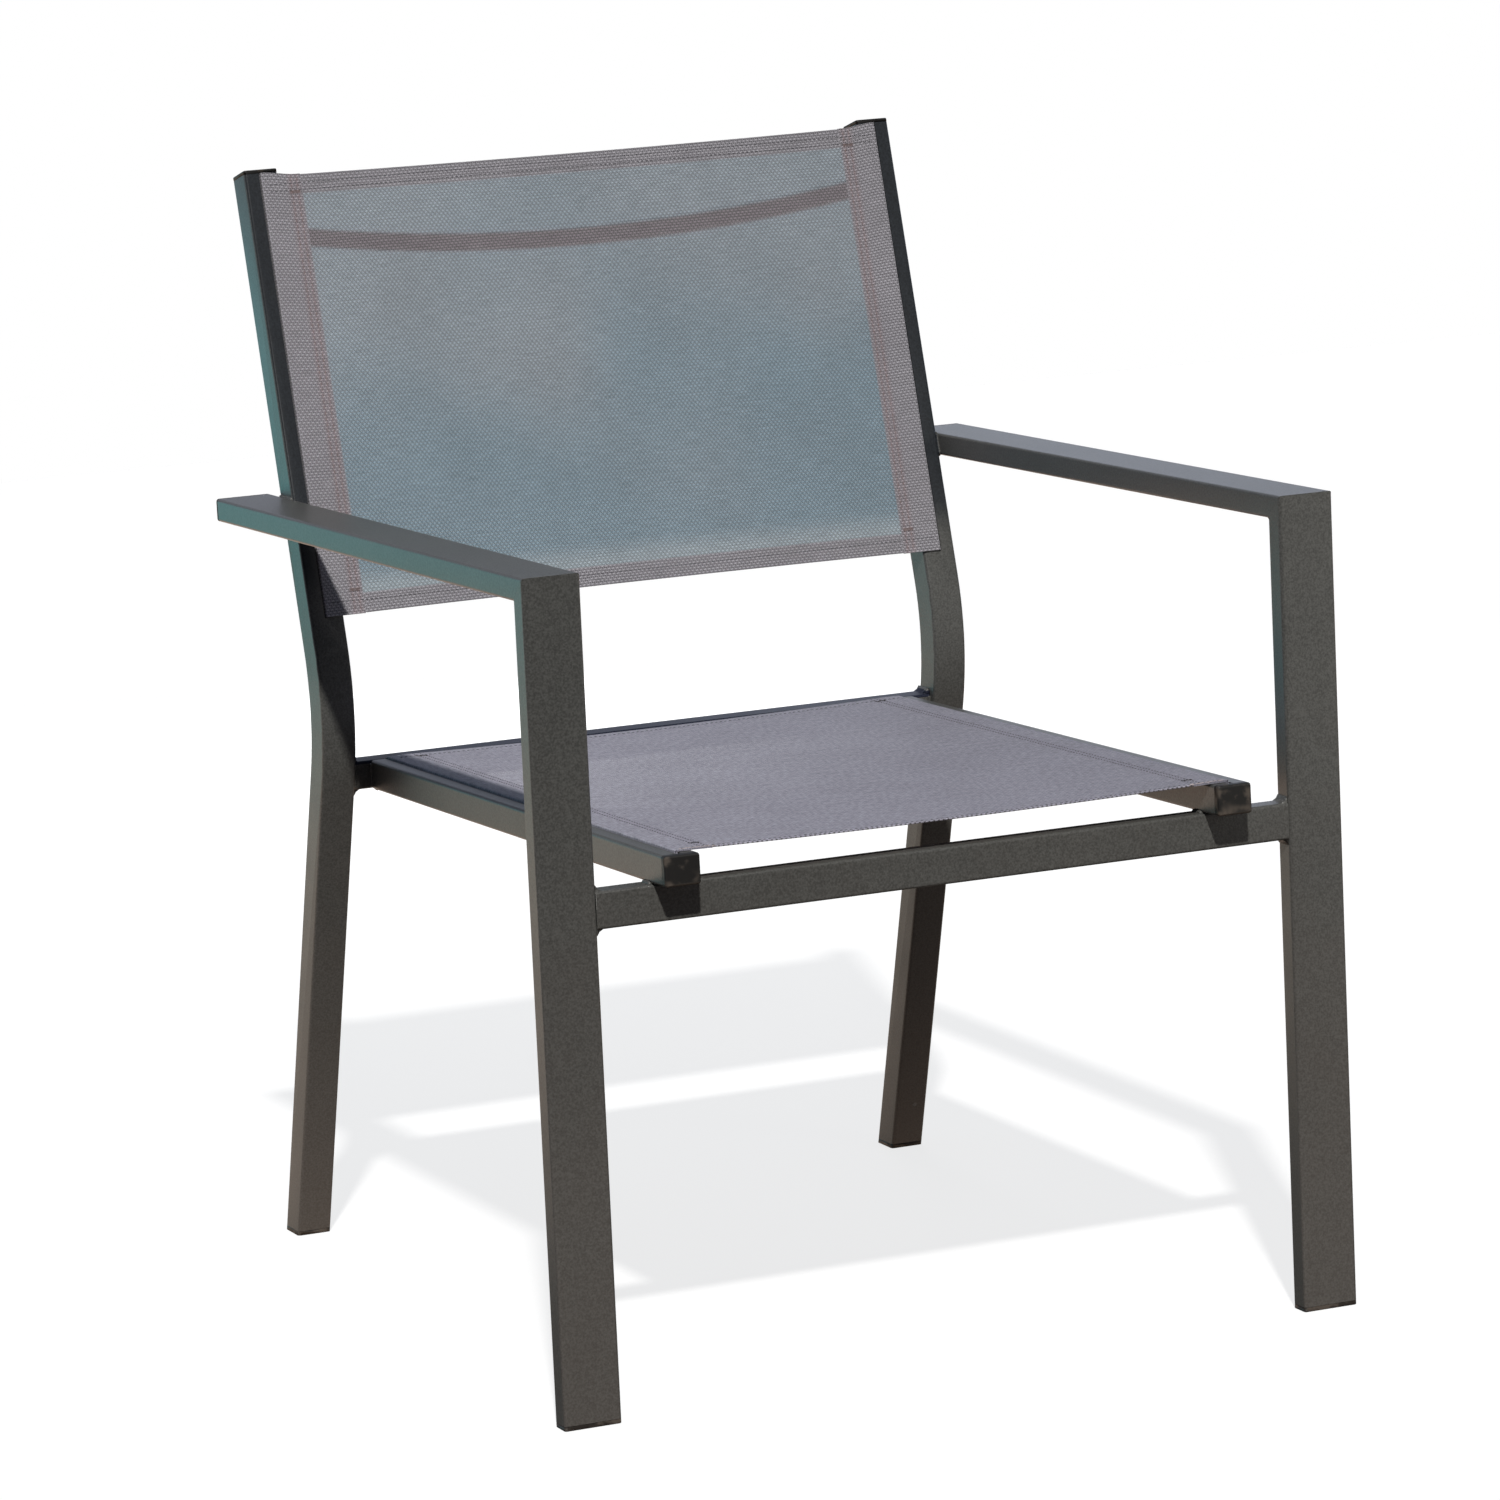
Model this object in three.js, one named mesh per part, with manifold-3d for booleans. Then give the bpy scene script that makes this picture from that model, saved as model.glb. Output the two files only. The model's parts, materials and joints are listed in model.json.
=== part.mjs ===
// Sling patio chair: a welded frame of aluminium tube, with two slings of mesh cloth stretched across it.
// Millimetres, +Z up. The sitter faces -Y, and left is -X, as seen from the front.
// The chair is laid out from the front legs' front faces, where Y is 0, and centred over its footprint at the end.
import * as THREE from "three";
import { mergeVertices } from "three/addons/utils/BufferGeometryUtils.js";
import Module from "manifold-3d";

const wasm = await Module();
wasm.setup();

// Driving dimensions
const chairWidth = 580;
const chairHeight = 772;
const armHeight = 555;
const armRearHeight = 545;
const seatFrontHeight = 371;
const seatRearHeight = 359.2;
const railTipReach = 22;
const rearFootSetBack = 600;
const postBendHeight = 394.3;
const lowerLeanDegrees = 16.75;
const reclineDegrees = 15.49;

// Tubes
const wall = 1.5;
const cornerRadius = 2;
const boreCornerShare = 0.3;
const flatTubeWidth = 40;
const flatTubeThickness = 16;
const postSize = 25;
const postBendRadius = 180;
const railWidth = 25;
const railHeight = 20.5;
const railSetIn = 13.7;
const frontBarHeight = 25;
const rearBarSize = 20;
const rearBarInset = 5;
const armOverhang = 21;

// Round bars that keep the tubes apart, bowed away from the sitter
const spreaderDiameter = 13;
const spreaderWall = 1.2;
const backSpreaderDrop = 46;
const backSpreaderDepth = 15;
const backSpreaderSagDown = 15;
const backSpreaderSagBack = 17;
const seatSpreaderSag = 14;
const seatSpreaderShare = 0.5;

// Slings, their side pockets, and the rods that hold them behind the slots
const slotWidth = 3.5;
const clothThickness = 1;
const pocketExtra = 0.5;
const hemExtra = 0.3;
const pocketOverhang = 3.5;
const backPocketWidth = 30;
const seatPocketWidth = 27;
const backHemWidth = 18;
const seatHemWidth = 16;
const backSlingTopMargin = 5.5;
const backSlingAboveBend = 20;
const seatSlingFrontMargin = 10;
const seatSlingRearMargin = 1.5;
const rodDiameter = 5;
const loopThickness = 1.2;

// Plastic ends
const railPlugHead = 5;
const railPlugRound = 1.4;
const thinPlugHead = 2.5;
const thinPlugRound = 0.6;
const footHeight = 3;
const plugStemLength = 14;
const plugRibThickness = 1.6;
const plugRibCount = 3;
const plugCoreShare = 0.72;

// Clearances, and the small beads where bars are welded between tubes
const seam = 0.3;
const plugFit = 0.3;
const weldLeg = 4;
const weldBite = 0.6;
const weldEndMargin = 1.5;
const weldHollowShare = 0.25;
const mergeDistance = 0.0001;

// How finely round shapes are divided
const cornerSteps = 2;
const bendSteps = 6;
const roundSteps = 8;
const edgeSteps = 2;
const spreaderSteps = 18;

// Finishes
const powderCoat = { color: 0x4e4b46, roughness: 0.5, metalness: 0.3 };
const blackPlastic = { color: 0x1a1817, roughness: 0.55, metalness: 0 };
const brownPlastic = { color: 0x2a2421, roughness: 0.6, metalness: 0 };
const meshCloth = { color: 0x8d8890, roughness: 0.85, metalness: 0 };
const rodPlastic = { color: 0x6f6f72, roughness: 0.5, metalness: 0 };

// The rear posts seen from the side: two straight runs, tangent to a bend whose centre lies behind the post.
const lowerLean = THREE.MathUtils.degToRad(lowerLeanDegrees);
const recline = THREE.MathUtils.degToRad(reclineDegrees);
const kneeY = rearFootSetBack - postBendHeight * Math.tan(lowerLean);
const postTopY = kneeY + (chairHeight - postBendHeight) * Math.tan(recline);
const kneeToCentre = postBendRadius / Math.cos((lowerLean + recline) / 2);
const bendCentreY = kneeY + kneeToCentre * Math.cos((lowerLean - recline) / 2);
const bendCentreZ = postBendHeight + kneeToCentre * Math.sin((lowerLean - recline) / 2);
const kneeToTangent = postBendRadius * Math.tan((lowerLean + recline) / 2);
const lowerTangentZ = postBendHeight - kneeToTangent * Math.cos(lowerLean);
const upperTangentZ = postBendHeight + kneeToTangent * Math.cos(recline);
const lowerRun = lowerTangentZ / Math.cos(lowerLean);
const upperRun = (chairHeight - upperTangentZ) / Math.cos(recline);

// Places across the chair
const legX = (chairWidth - flatTubeWidth) / 2;
const legInnerX = chairWidth / 2 - flatTubeWidth;
const postX = legInnerX - seam - postSize / 2;
const postInnerX = postX - postSize / 2;
const railX = postInnerX - railSetIn - railWidth / 2;
const railInnerX = railX - railWidth / 2;

// The seat rails fall towards the rear crossbar, which stands between the posts.
const rearBarFrontY = postFrontAt(seatRearHeight - rearBarSize / 2) + rearBarInset;
const seatTilt = Math.atan((seatFrontHeight - seatRearHeight) / (rearBarFrontY + railTipReach));
const railLength = (rearBarFrontY + railTipReach) / Math.cos(seatTilt);
const railFallAtFrontBar = (railTipReach + flatTubeThickness) * Math.tan(seatTilt);
const frontBarTopZ = seatFrontHeight - railFallAtFrontBar - railHeight / Math.cos(seatTilt) - seam;

// The armrests run past the posts and end behind them.
const armRearY = postFrontAt(armRearHeight) + postSize / Math.cos(recline) + armOverhang;
const armSlope = Math.atan((armHeight - armRearHeight) / armRearY);
const armLength = armRearY / Math.cos(armSlope);

// The slings: a neck goes through each slot, and a loop behind it holds the rod.
const neckWidth = slotWidth - 2 * seam;
const loopBore = rodDiameter / 2 + seam;
const loopRadius = loopBore + loopThickness;
const loopDepth = wall + seam + loopRadius;
const loopRoom = loopDepth + loopRadius + seam;
const backSlingLength = upperRun - backSlingTopMargin - backSlingAboveBend;
const seatSlingLength = railLength - seatSlingFrontMargin - seatSlingRearMargin;

// A cutting box this large reaches past every piece.
const cutterSize = 2 * chairHeight;

// Y of the rear posts' front faces at a height.
function postFrontAt(z) {
  if (z < lowerTangentZ) return kneeY + (postBendHeight - z) * Math.tan(lowerLean);
  if (z > upperTangentZ) return kneeY + (z - postBendHeight) * Math.tan(recline);
  return bendCentreY - Math.sqrt(postBendRadius ** 2 - (z - bendCentreZ) ** 2);
}

// A closed three.js geometry as a solid that can be cut and joined.
function solidFrom(geometry) {
  const bare = geometry.clone();
  bare.deleteAttribute("normal");
  bare.deleteAttribute("uv");
  const merged = mergeVertices(bare, mergeDistance);
  const vertProperties = merged.attributes.position.array;
  const triVerts = new Uint32Array(merged.index.array);
  return new wasm.Manifold(new wasm.Mesh({ numProp: 3, vertProperties, triVerts }));
}

// A finished solid as a geometry with flat faces.
function geometryFrom(solid) {
  const mesh = solid.getMesh();
  const indexed = new THREE.BufferGeometry();
  indexed.setAttribute("position", new THREE.BufferAttribute(mesh.vertProperties, 3));
  indexed.setIndex(new THREE.BufferAttribute(mesh.triVerts, 1));
  const geometry = indexed.toNonIndexed();
  geometry.computeVertexNormals();
  return geometry;
}

function joined(solids) {
  return solids.reduce((whole, next) => whole.add(next));
}

// A box between its lowest and highest corners.
function boxBetween(low, high) {
  const size = high.map((value, axis) => value - low[axis]);
  const centre = high.map((value, axis) => (value + low[axis]) / 2);
  return new THREE.BoxGeometry(...size).translate(...centre);
}

function block(low, high) {
  return solidFrom(boxBetween(low, high));
}

// What is left of a solid behind a plane through (y, z), whose normal is turned from +Y towards +Z by an angle.
function cutBehind(solid, y, z, angle) {
  const cutter = new THREE.BoxGeometry(cutterSize, cutterSize, cutterSize)
    .translate(0, 0, cutterSize / 2)
    .rotateX(angle - Math.PI / 2)
    .translate(0, y, z);
  return solid.subtract(solidFrom(cutter));
}

// What is left of a solid between two heights.
function keptBetween(solid, lowZ, highZ) {
  const half = cutterSize / 2;
  return solid.intersect(block([-half, -half, lowZ], [half, half, highZ]));
}

// A rectangle with rounded corners, centred on the origin.
function roundedRectangle(width, height, radius) {
  const x = width / 2 - radius;
  const y = height / 2 - radius;
  const quarter = Math.PI / 2;
  const outline = new THREE.Shape();
  outline.absarc(x, -y, radius, -quarter, 0, false);
  outline.absarc(x, y, radius, 0, quarter, false);
  outline.absarc(-x, y, radius, quarter, 2 * quarter, false);
  outline.absarc(-x, -y, radius, 2 * quarter, 3 * quarter, false);
  return outline;
}

// A rectangular tube's section, with its bore.
function tubeSection(width, height) {
  const section = roundedRectangle(width, height, cornerRadius);
  section.holes.push(roundedRectangle(width - 2 * wall, height - 2 * wall, cornerRadius * boreCornerShare));
  return section;
}

function circle(radius) {
  return new THREE.Shape().absarc(0, 0, radius, 0, 2 * Math.PI, false);
}

function extruded(shape, depth, curveSegments) {
  return new THREE.ExtrudeGeometry(shape, { depth, curveSegments, bevelEnabled: false });
}

// A shape drawn in X and Z, carried along +Y from zero.
function alongY(shape, length, curveSegments) {
  return extruded(shape, length, curveSegments).rotateX(Math.PI / 2).translate(0, length, 0);
}

// A geometry drawn in the side view and carried across the chair, centred on X.
function acrossChair(geometry, depth) {
  const sideView = new THREE.Matrix4().makeBasis(
    new THREE.Vector3(0, 1, 0),
    new THREE.Vector3(0, 0, 1),
    new THREE.Vector3(1, 0, 0),
  );
  return geometry.translate(0, 0, -depth / 2).applyMatrix4(sideView);
}

// The hollow bead in the corner where a bar meets a tube: it grows along the bar and up the tube.
function beadShape(along, up) {
  const bead = new THREE.Shape();
  bead.moveTo(0, -weldBite * up);
  bead.lineTo(weldLeg * along, -weldBite * up);
  bead.lineTo(weldLeg * along, 0);
  const hollow = weldLeg * weldHollowShare;
  bead.quadraticCurveTo(hollow * along, hollow * up, 0, weldLeg * up);
  return bead;
}

// A rectangular bar across the chair between two faces, with a bead above and below it at each end.
// Its front face is at Y zero and its top at Z zero.
function crossbarSolid(depth, height, faceX) {
  const halfLength = faceX - seam;
  const length = 2 * halfLength;
  const tube = acrossChair(extruded(tubeSection(depth, height), length, cornerSteps), length);
  const bar = solidFrom(tube.translate(0, depth / 2, -height / 2));
  const beadLength = depth - 2 * weldEndMargin;
  const beads = [-1, 1].flatMap((side) =>
    [-1, 1].map((up) => {
      const bead = alongY(beadShape(-side, up), beadLength, cornerSteps);
      const edgeZ = up > 0 ? 0 : -height;
      return solidFrom(bead.translate(side * halfLength, weldEndMargin, edgeZ));
    }),
  );
  return joined([bar, ...beads]);
}

// A front leg: its front face is at Y zero, its foot is left open for the cap, and its top is cut for the mitre.
function frontLegSolid() {
  const tube = extruded(tubeSection(flatTubeWidth, flatTubeThickness), armHeight, cornerSteps);
  const footEnd = footHeight + seam;
  const leg = solidFrom(tube.translate(0, flatTubeThickness / 2, footEnd));
  const mitre = (Math.PI / 2 - armSlope) / 2;
  const back = seam / 2;
  return cutBehind(leg, -back * Math.cos(mitre), armHeight - back * Math.sin(mitre), mitre);
}

// An armrest, lying along Y with its top at Z zero: mitred in front, with the bead under its corner with the leg.
function armrestSolid() {
  const tubeLength = armLength - thinPlugHead - seam;
  const tube = alongY(tubeSection(flatTubeWidth, flatTubeThickness), tubeLength, cornerSteps);
  const arm = solidFrom(tube.translate(0, 0, -flatTubeThickness / 2));
  const mitre = (Math.PI / 2 + armSlope) / 2;
  const back = seam / 2;
  const mitred = cutBehind(arm, back * Math.cos(mitre), back * Math.sin(mitre), mitre + Math.PI);
  const legBackY = (flatTubeThickness * (1 + Math.sin(armSlope))) / Math.cos(armSlope);
  const beadWidth = flatTubeWidth - 2 * cornerRadius;
  const bead = acrossChair(extruded(beadShape(1, -1), beadWidth, cornerSteps), beadWidth);
  return mitred.add(solidFrom(bead.translate(0, legBackY + seam, -flatTubeThickness)));
}

// The side view of a rear post between two depths behind its front face, running past both its ends.
function postOutline(nearDepth, farDepth) {
  const past = postSize;
  const lowerAngle = Math.PI + lowerLean;
  const upperAngle = Math.PI - recline;
  const pointAt = (angle, depth, run) => {
    const radius = postBendRadius - depth;
    const turn = angle === lowerAngle ? 1 : -1;
    return [
      bendCentreY + radius * Math.cos(angle) - turn * run * Math.sin(angle),
      bendCentreZ + radius * Math.sin(angle) + turn * run * Math.cos(angle),
    ];
  };
  const outline = new THREE.Shape();
  outline.absarc(bendCentreY, bendCentreZ, postBendRadius - nearDepth, lowerAngle, upperAngle, true);
  outline.lineTo(...pointAt(upperAngle, nearDepth, upperRun + past));
  outline.lineTo(...pointAt(upperAngle, farDepth, upperRun + past));
  outline.absarc(bendCentreY, bendCentreZ, postBendRadius - farDepth, upperAngle, lowerAngle, false);
  outline.lineTo(...pointAt(lowerAngle, farDepth, lowerRun + past));
  outline.lineTo(...pointAt(lowerAngle, nearDepth, lowerRun + past));
  return outline;
}

// A post's outer body with its rounded long edges, and a plain filling that lies a margin inside it.
function postBody() {
  const depth = postSize - 2 * cornerRadius;
  const geometry = new THREE.ExtrudeGeometry(postOutline(0, postSize), {
    depth,
    curveSegments: bendSteps,
    bevelThickness: cornerRadius,
    bevelSize: cornerRadius,
    bevelOffset: -cornerRadius,
    bevelSegments: edgeSteps,
  });
  return solidFrom(acrossChair(geometry, depth));
}

function postFilling(margin) {
  const depth = postSize - 2 * margin;
  return solidFrom(acrossChair(extruded(postOutline(margin, postSize - margin), depth, bendSteps), depth));
}

// A rear post, from its foot cap to its top plug, with a slot in its front wall behind the back sling.
function rearPostSolid() {
  const slotLength = backSlingTopMargin + backSlingLength + seam;
  const slot = boxBetween(
    [-slotWidth / 2, -wall, -slotLength],
    [slotWidth / 2, 2 * wall, plugStemLength],
  );
  slot.rotateX(-recline).translate(0, postTopY, chairHeight);
  const tube = postBody().subtract(postFilling(wall)).subtract(solidFrom(slot));
  const footed = keptBetween(tube, footHeight + seam, cutterSize / 2);
  const topDrop = thinPlugHead + seam;
  const topY = postTopY - topDrop * Math.sin(recline);
  const topZ = chairHeight - topDrop * Math.cos(recline);
  return cutBehind(footed, topY, topZ, Math.PI / 2 - recline);
}

// The cap under a rear post: a plate as wide as the post, and a stem that follows it upwards.
function rearFootSolid() {
  const plate = keptBetween(postBody(), 0, footHeight);
  const stem = keptBetween(postFilling(wall + plugFit), footHeight / 2, footHeight + plugStemLength);
  return plate.add(stem);
}

// A seat rail, lying along Y with its top at Z zero, its slot open at the front and its rear end cut upright.
function seatRailSolid() {
  const start = railPlugHead + seam;
  const tube = alongY(tubeSection(railWidth, railHeight), railLength, cornerSteps);
  const rail = solidFrom(tube.translate(0, start, -railHeight / 2));
  const slot = block([-slotWidth / 2, 0, -2 * wall], [slotWidth / 2, railLength + start + wall, wall]);
  const rearY = railLength - seam / Math.cos(seatTilt);
  return cutBehind(rail.subtract(slot), rearY, 0, seatTilt);
}

// A line across the chair, bowed by the sag at its middle and running a little past both faces.
class BowedLine extends THREE.Curve {
  constructor(faceX, sag) {
    super();
    this.faceX = faceX;
    this.sag = sag;
  }

  getPoint(t, target = new THREE.Vector3()) {
    const reach = this.faceX + spreaderDiameter;
    const x = THREE.MathUtils.lerp(-reach, reach, t);
    target.copy(this.sag).multiplyScalar(1 - (x / this.faceX) ** 2);
    return target.setX(x);
  }
}

// A round bar between two faces, trimmed flat against them.
function spreaderSolid(faceX, sag) {
  const section = circle(spreaderDiameter / 2);
  section.holes.push(circle(spreaderDiameter / 2 - spreaderWall));
  const geometry = new THREE.ExtrudeGeometry(section, {
    steps: spreaderSteps,
    curveSegments: roundSteps,
    extrudePath: new BowedLine(faceX, sag),
  });
  const endX = faceX - seam;
  const half = cutterSize / 2;
  return solidFrom(geometry).intersect(block([-endX, -half, -half], [endX, half, half]));
}

// A sling, lying along Y from zero with the tubes' faces at Z zero: its panel with an end hem at each end, and on
// each side the wider pocket, the neck that goes through the slot and the loop that holds the rod.
function slingSolid(slotX, length, pocketWidth, hemWidth) {
  const edgeX = slotX + neckWidth / 2;
  const face = seam + clothThickness;
  const hemTop = face + hemExtra;
  const panel = block([-edgeX, pocketOverhang, seam], [edgeX, length - pocketOverhang, face]);
  const hems = [pocketOverhang, length - pocketOverhang - hemWidth].map((start) =>
    block([-edgeX, start, seam], [edgeX, start + hemWidth, hemTop]),
  );
  const sides = [-1, 1].flatMap((side) => {
    const pocketX = side * (edgeX - pocketWidth / 2);
    const pocket = block(
      [pocketX - pocketWidth / 2, 0, seam],
      [pocketX + pocketWidth / 2, length, face + pocketExtra],
    );
    const neck = block(
      [side * slotX - neckWidth / 2, 0, -loopDepth],
      [side * slotX + neckWidth / 2, length, face],
    );
    const loop = alongY(circle(loopRadius), length, roundSteps).translate(side * slotX, 0, -loopDepth);
    return [pocket, neck, solidFrom(loop)];
  });
  const bores = [-1, 1].map((side) => {
    const bore = alongY(circle(loopBore), length + 2 * seam, roundSteps);
    return solidFrom(bore.translate(side * slotX, -seam, -loopDepth));
  });
  return joined([panel, ...hems, ...sides]).subtract(joined(bores));
}

// A plug for the end of a tube that ends at Z zero and opens upwards: a head with rounded edges and a ribbed stem.
// Room is kept free inside the tube's +Y wall.
function plugSolid(width, height, head, round, keptFree) {
  const depth = 2 * (head - round);
  const bothHeads = new THREE.ExtrudeGeometry(roundedRectangle(width, height, cornerRadius), {
    depth,
    curveSegments: cornerSteps,
    bevelThickness: round,
    bevelSize: round,
    bevelOffset: -round,
    bevelSegments: edgeSteps,
  });
  const cap = keptBetween(solidFrom(bothHeads.translate(0, 0, seam - depth / 2)), seam, seam + head);
  const halfWidth = width / 2 - wall - plugFit;
  const lowY = -height / 2 + wall + plugFit;
  const highY = Math.min(-lowY, height / 2 - keptFree);
  const middleY = (lowY + highY) / 2;
  const coreX = halfWidth * plugCoreShare;
  const coreY = ((highY - lowY) / 2) * plugCoreShare;
  const core = block([-coreX, middleY - coreY, -plugStemLength], [coreX, middleY + coreY, seam + head / 2]);
  const ribSpacing = (plugStemLength - plugRibThickness) / plugRibCount;
  const ribs = Array.from({ length: plugRibCount }, (_, index) => {
    const low = -plugStemLength + index * ribSpacing;
    return block([-halfWidth, lowY, low], [halfWidth, highY, low + plugRibThickness]);
  });
  return joined([cap, core, ...ribs]);
}

// One named piece with its own material.
function piece(name, geometry, finish) {
  const mesh = new THREE.Mesh(geometry, new THREE.MeshStandardMaterial(finish));
  mesh.name = name;
  return mesh;
}

// The same piece on the left and on the right.
function pair(parent, nameOf, geometry, finish, x, place) {
  for (const [sideName, side] of [["left", -1], ["right", 1]]) {
    const mesh = piece(nameOf(sideName), geometry.clone(), finish);
    place(mesh);
    mesh.position.x = side * x;
    parent.add(mesh);
  }
}

// A sling and its two rods, in one group.
function slingGroup(name, slotX, length, pocketWidth, hemWidth) {
  const group = new THREE.Group();
  const cloth = slingSolid(slotX, length, pocketWidth, hemWidth);
  group.add(piece(`${name}_sling`, geometryFrom(cloth), meshCloth));
  const rod = alongY(circle(rodDiameter / 2), length, roundSteps);
  pair(group, (side) => `${name}_piping_${side}`, rod, rodPlastic, slotX, (mesh) => {
    mesh.position.z = -loopDepth;
  });
  return group;
}

const chair = new THREE.Group();
const frontmostY = -railTipReach - railHeight * Math.sin(seatTilt);
const rearmostY = rearFootSetBack + postSize / Math.cos(lowerLean);
chair.position.y = -(frontmostY + rearmostY) / 2;

// Front legs, their feet and the crossbar between them
pair(chair, (side) => `${side}_front_leg`, geometryFrom(frontLegSolid()), powderCoat, legX, () => {});
const frontFoot = plugSolid(flatTubeWidth, flatTubeThickness, footHeight, thinPlugRound, 0);
pair(chair, (side) => `front_foot_${side}`, geometryFrom(frontFoot), brownPlastic, legX, (mesh) => {
  mesh.rotation.x = Math.PI;
  mesh.position.set(0, flatTubeThickness / 2, footHeight + seam);
});
const frontBar = crossbarSolid(flatTubeThickness, frontBarHeight, legInnerX);
const frontCrossbar = piece("front_crossbar", geometryFrom(frontBar), powderCoat);
frontCrossbar.position.z = frontBarTopZ;
chair.add(frontCrossbar);

// Armrests, turned down towards the rear about their front top corners
const arms = new THREE.Group();
arms.position.z = armHeight;
arms.rotation.x = -armSlope;
chair.add(arms);
pair(arms, (side) => `${side}_armrest`, geometryFrom(armrestSolid()), powderCoat, legX, () => {});
const armPlug = plugSolid(flatTubeWidth, flatTubeThickness, thinPlugHead, thinPlugRound, 0);
pair(arms, (side) => `arm_plug_${side}`, geometryFrom(armPlug), blackPlastic, legX, (mesh) => {
  mesh.rotation.x = -Math.PI / 2;
  mesh.position.set(0, armLength - thinPlugHead - seam, -flatTubeThickness / 2);
});

// Rear posts, their feet and the crossbar between them
pair(chair, (side) => `${side}_rear_post`, geometryFrom(rearPostSolid()), powderCoat, postX, () => {});
pair(chair, (side) => `rear_foot_${side}`, geometryFrom(rearFootSolid()), brownPlastic, postX, () => {});
const rearBar = crossbarSolid(rearBarSize, rearBarSize, postInnerX);
const rearCrossbar = piece("rear_crossbar", geometryFrom(rearBar), powderCoat);
rearCrossbar.position.set(0, rearBarFrontY, seatRearHeight);
chair.add(rearCrossbar);

// The back: Z runs up the posts and Y into them, from the posts' front faces at their tops.
const back = new THREE.Group();
back.position.set(0, postTopY, chairHeight);
back.rotation.x = -recline;
chair.add(back);
const postPlug = plugSolid(postSize, postSize, thinPlugHead, thinPlugRound, loopRoom);
pair(back, (side) => `post_plug_${side}`, geometryFrom(postPlug), blackPlastic, postX, (mesh) => {
  mesh.rotation.z = Math.PI;
  mesh.position.set(0, postSize / 2, -thinPlugHead - seam);
});
const backSag = new THREE.Vector3(0, backSpreaderSagBack, -backSpreaderSagDown);
const backSpreader = piece("back_spreader_bar", geometryFrom(spreaderSolid(postInnerX, backSag)), powderCoat);
backSpreader.position.set(0, backSpreaderDepth, -backSpreaderDrop);
back.add(backSpreader);
const backCloth = slingGroup("back", postX, backSlingLength, backPocketWidth, backHemWidth);
backCloth.rotation.x = Math.PI / 2;
backCloth.position.z = -backSlingTopMargin - backSlingLength;
back.add(backCloth);

// The seat: Y runs back along the rails and Z up from their tops, from their front tips.
const seat = new THREE.Group();
seat.position.set(0, -railTipReach, seatFrontHeight);
seat.rotation.x = -seatTilt;
chair.add(seat);
pair(seat, (side) => `${side}_seat_rail`, geometryFrom(seatRailSolid()), powderCoat, railX, () => {});
const railPlug = plugSolid(railWidth, railHeight, railPlugHead, railPlugRound, loopRoom);
pair(seat, (side) => `rail_plug_${side}`, geometryFrom(railPlug), blackPlastic, railX, (mesh) => {
  mesh.rotation.x = Math.PI / 2;
  mesh.position.set(0, railPlugHead + seam, -railHeight / 2);
});
const seatSag = new THREE.Vector3(0, 0, -seatSpreaderSag);
const seatSpreader = piece("seat_spreader_bar", geometryFrom(spreaderSolid(railInnerX, seatSag)), powderCoat);
seatSpreader.position.set(0, railLength * seatSpreaderShare, -railHeight / 2);
seat.add(seatSpreader);
const seatCloth = slingGroup("seat", railX, seatSlingLength, seatPocketWidth, seatHemWidth);
seatCloth.position.y = seatSlingFrontMargin;
seat.add(seatCloth);

export default chair;
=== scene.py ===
"""Sling patio chair: the finishes, cloth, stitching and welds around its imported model, in a plain studio.

Metres, +Z up, in the chair's own frame: the sitter faces -Y, and left is -X, as seen from the front.
"""

import json
import logging
import math
from contextlib import contextmanager
from dataclasses import dataclass, field
from enum import Enum
from itertools import accumulate
from typing import Callable, Iterator, Sequence

import bmesh
import bpy
from mathutils import Matrix, Vector


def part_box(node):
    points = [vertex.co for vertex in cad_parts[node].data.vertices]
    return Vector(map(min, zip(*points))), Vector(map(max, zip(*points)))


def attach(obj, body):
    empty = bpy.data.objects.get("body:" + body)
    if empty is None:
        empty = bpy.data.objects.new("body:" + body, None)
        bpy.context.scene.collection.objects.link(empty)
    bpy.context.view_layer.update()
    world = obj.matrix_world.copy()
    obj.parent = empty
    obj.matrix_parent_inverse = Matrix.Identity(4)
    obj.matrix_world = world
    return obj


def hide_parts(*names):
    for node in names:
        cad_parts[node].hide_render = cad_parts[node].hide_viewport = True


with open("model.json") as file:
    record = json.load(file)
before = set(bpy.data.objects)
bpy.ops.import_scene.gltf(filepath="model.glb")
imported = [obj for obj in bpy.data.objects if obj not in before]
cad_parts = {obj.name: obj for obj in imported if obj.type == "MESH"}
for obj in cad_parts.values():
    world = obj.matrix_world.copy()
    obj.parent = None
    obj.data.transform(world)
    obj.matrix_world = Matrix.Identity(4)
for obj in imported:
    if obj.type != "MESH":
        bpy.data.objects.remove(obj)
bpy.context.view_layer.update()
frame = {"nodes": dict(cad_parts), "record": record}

MM = 0.001
SIDES = {"left": -1, "right": 1}
CLOTH_MAP = "cloth"
SINGLE_LAYER = "single_layer"
SEWN = "sewn"
WHITE = (1.0, 1.0, 1.0)
Colour = tuple[float, float, float]
Place = tuple[float, float, float]
Socket = bpy.types.NodeSocket

log = logging.getLogger("patio_chair")


# Shader nodes


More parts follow.
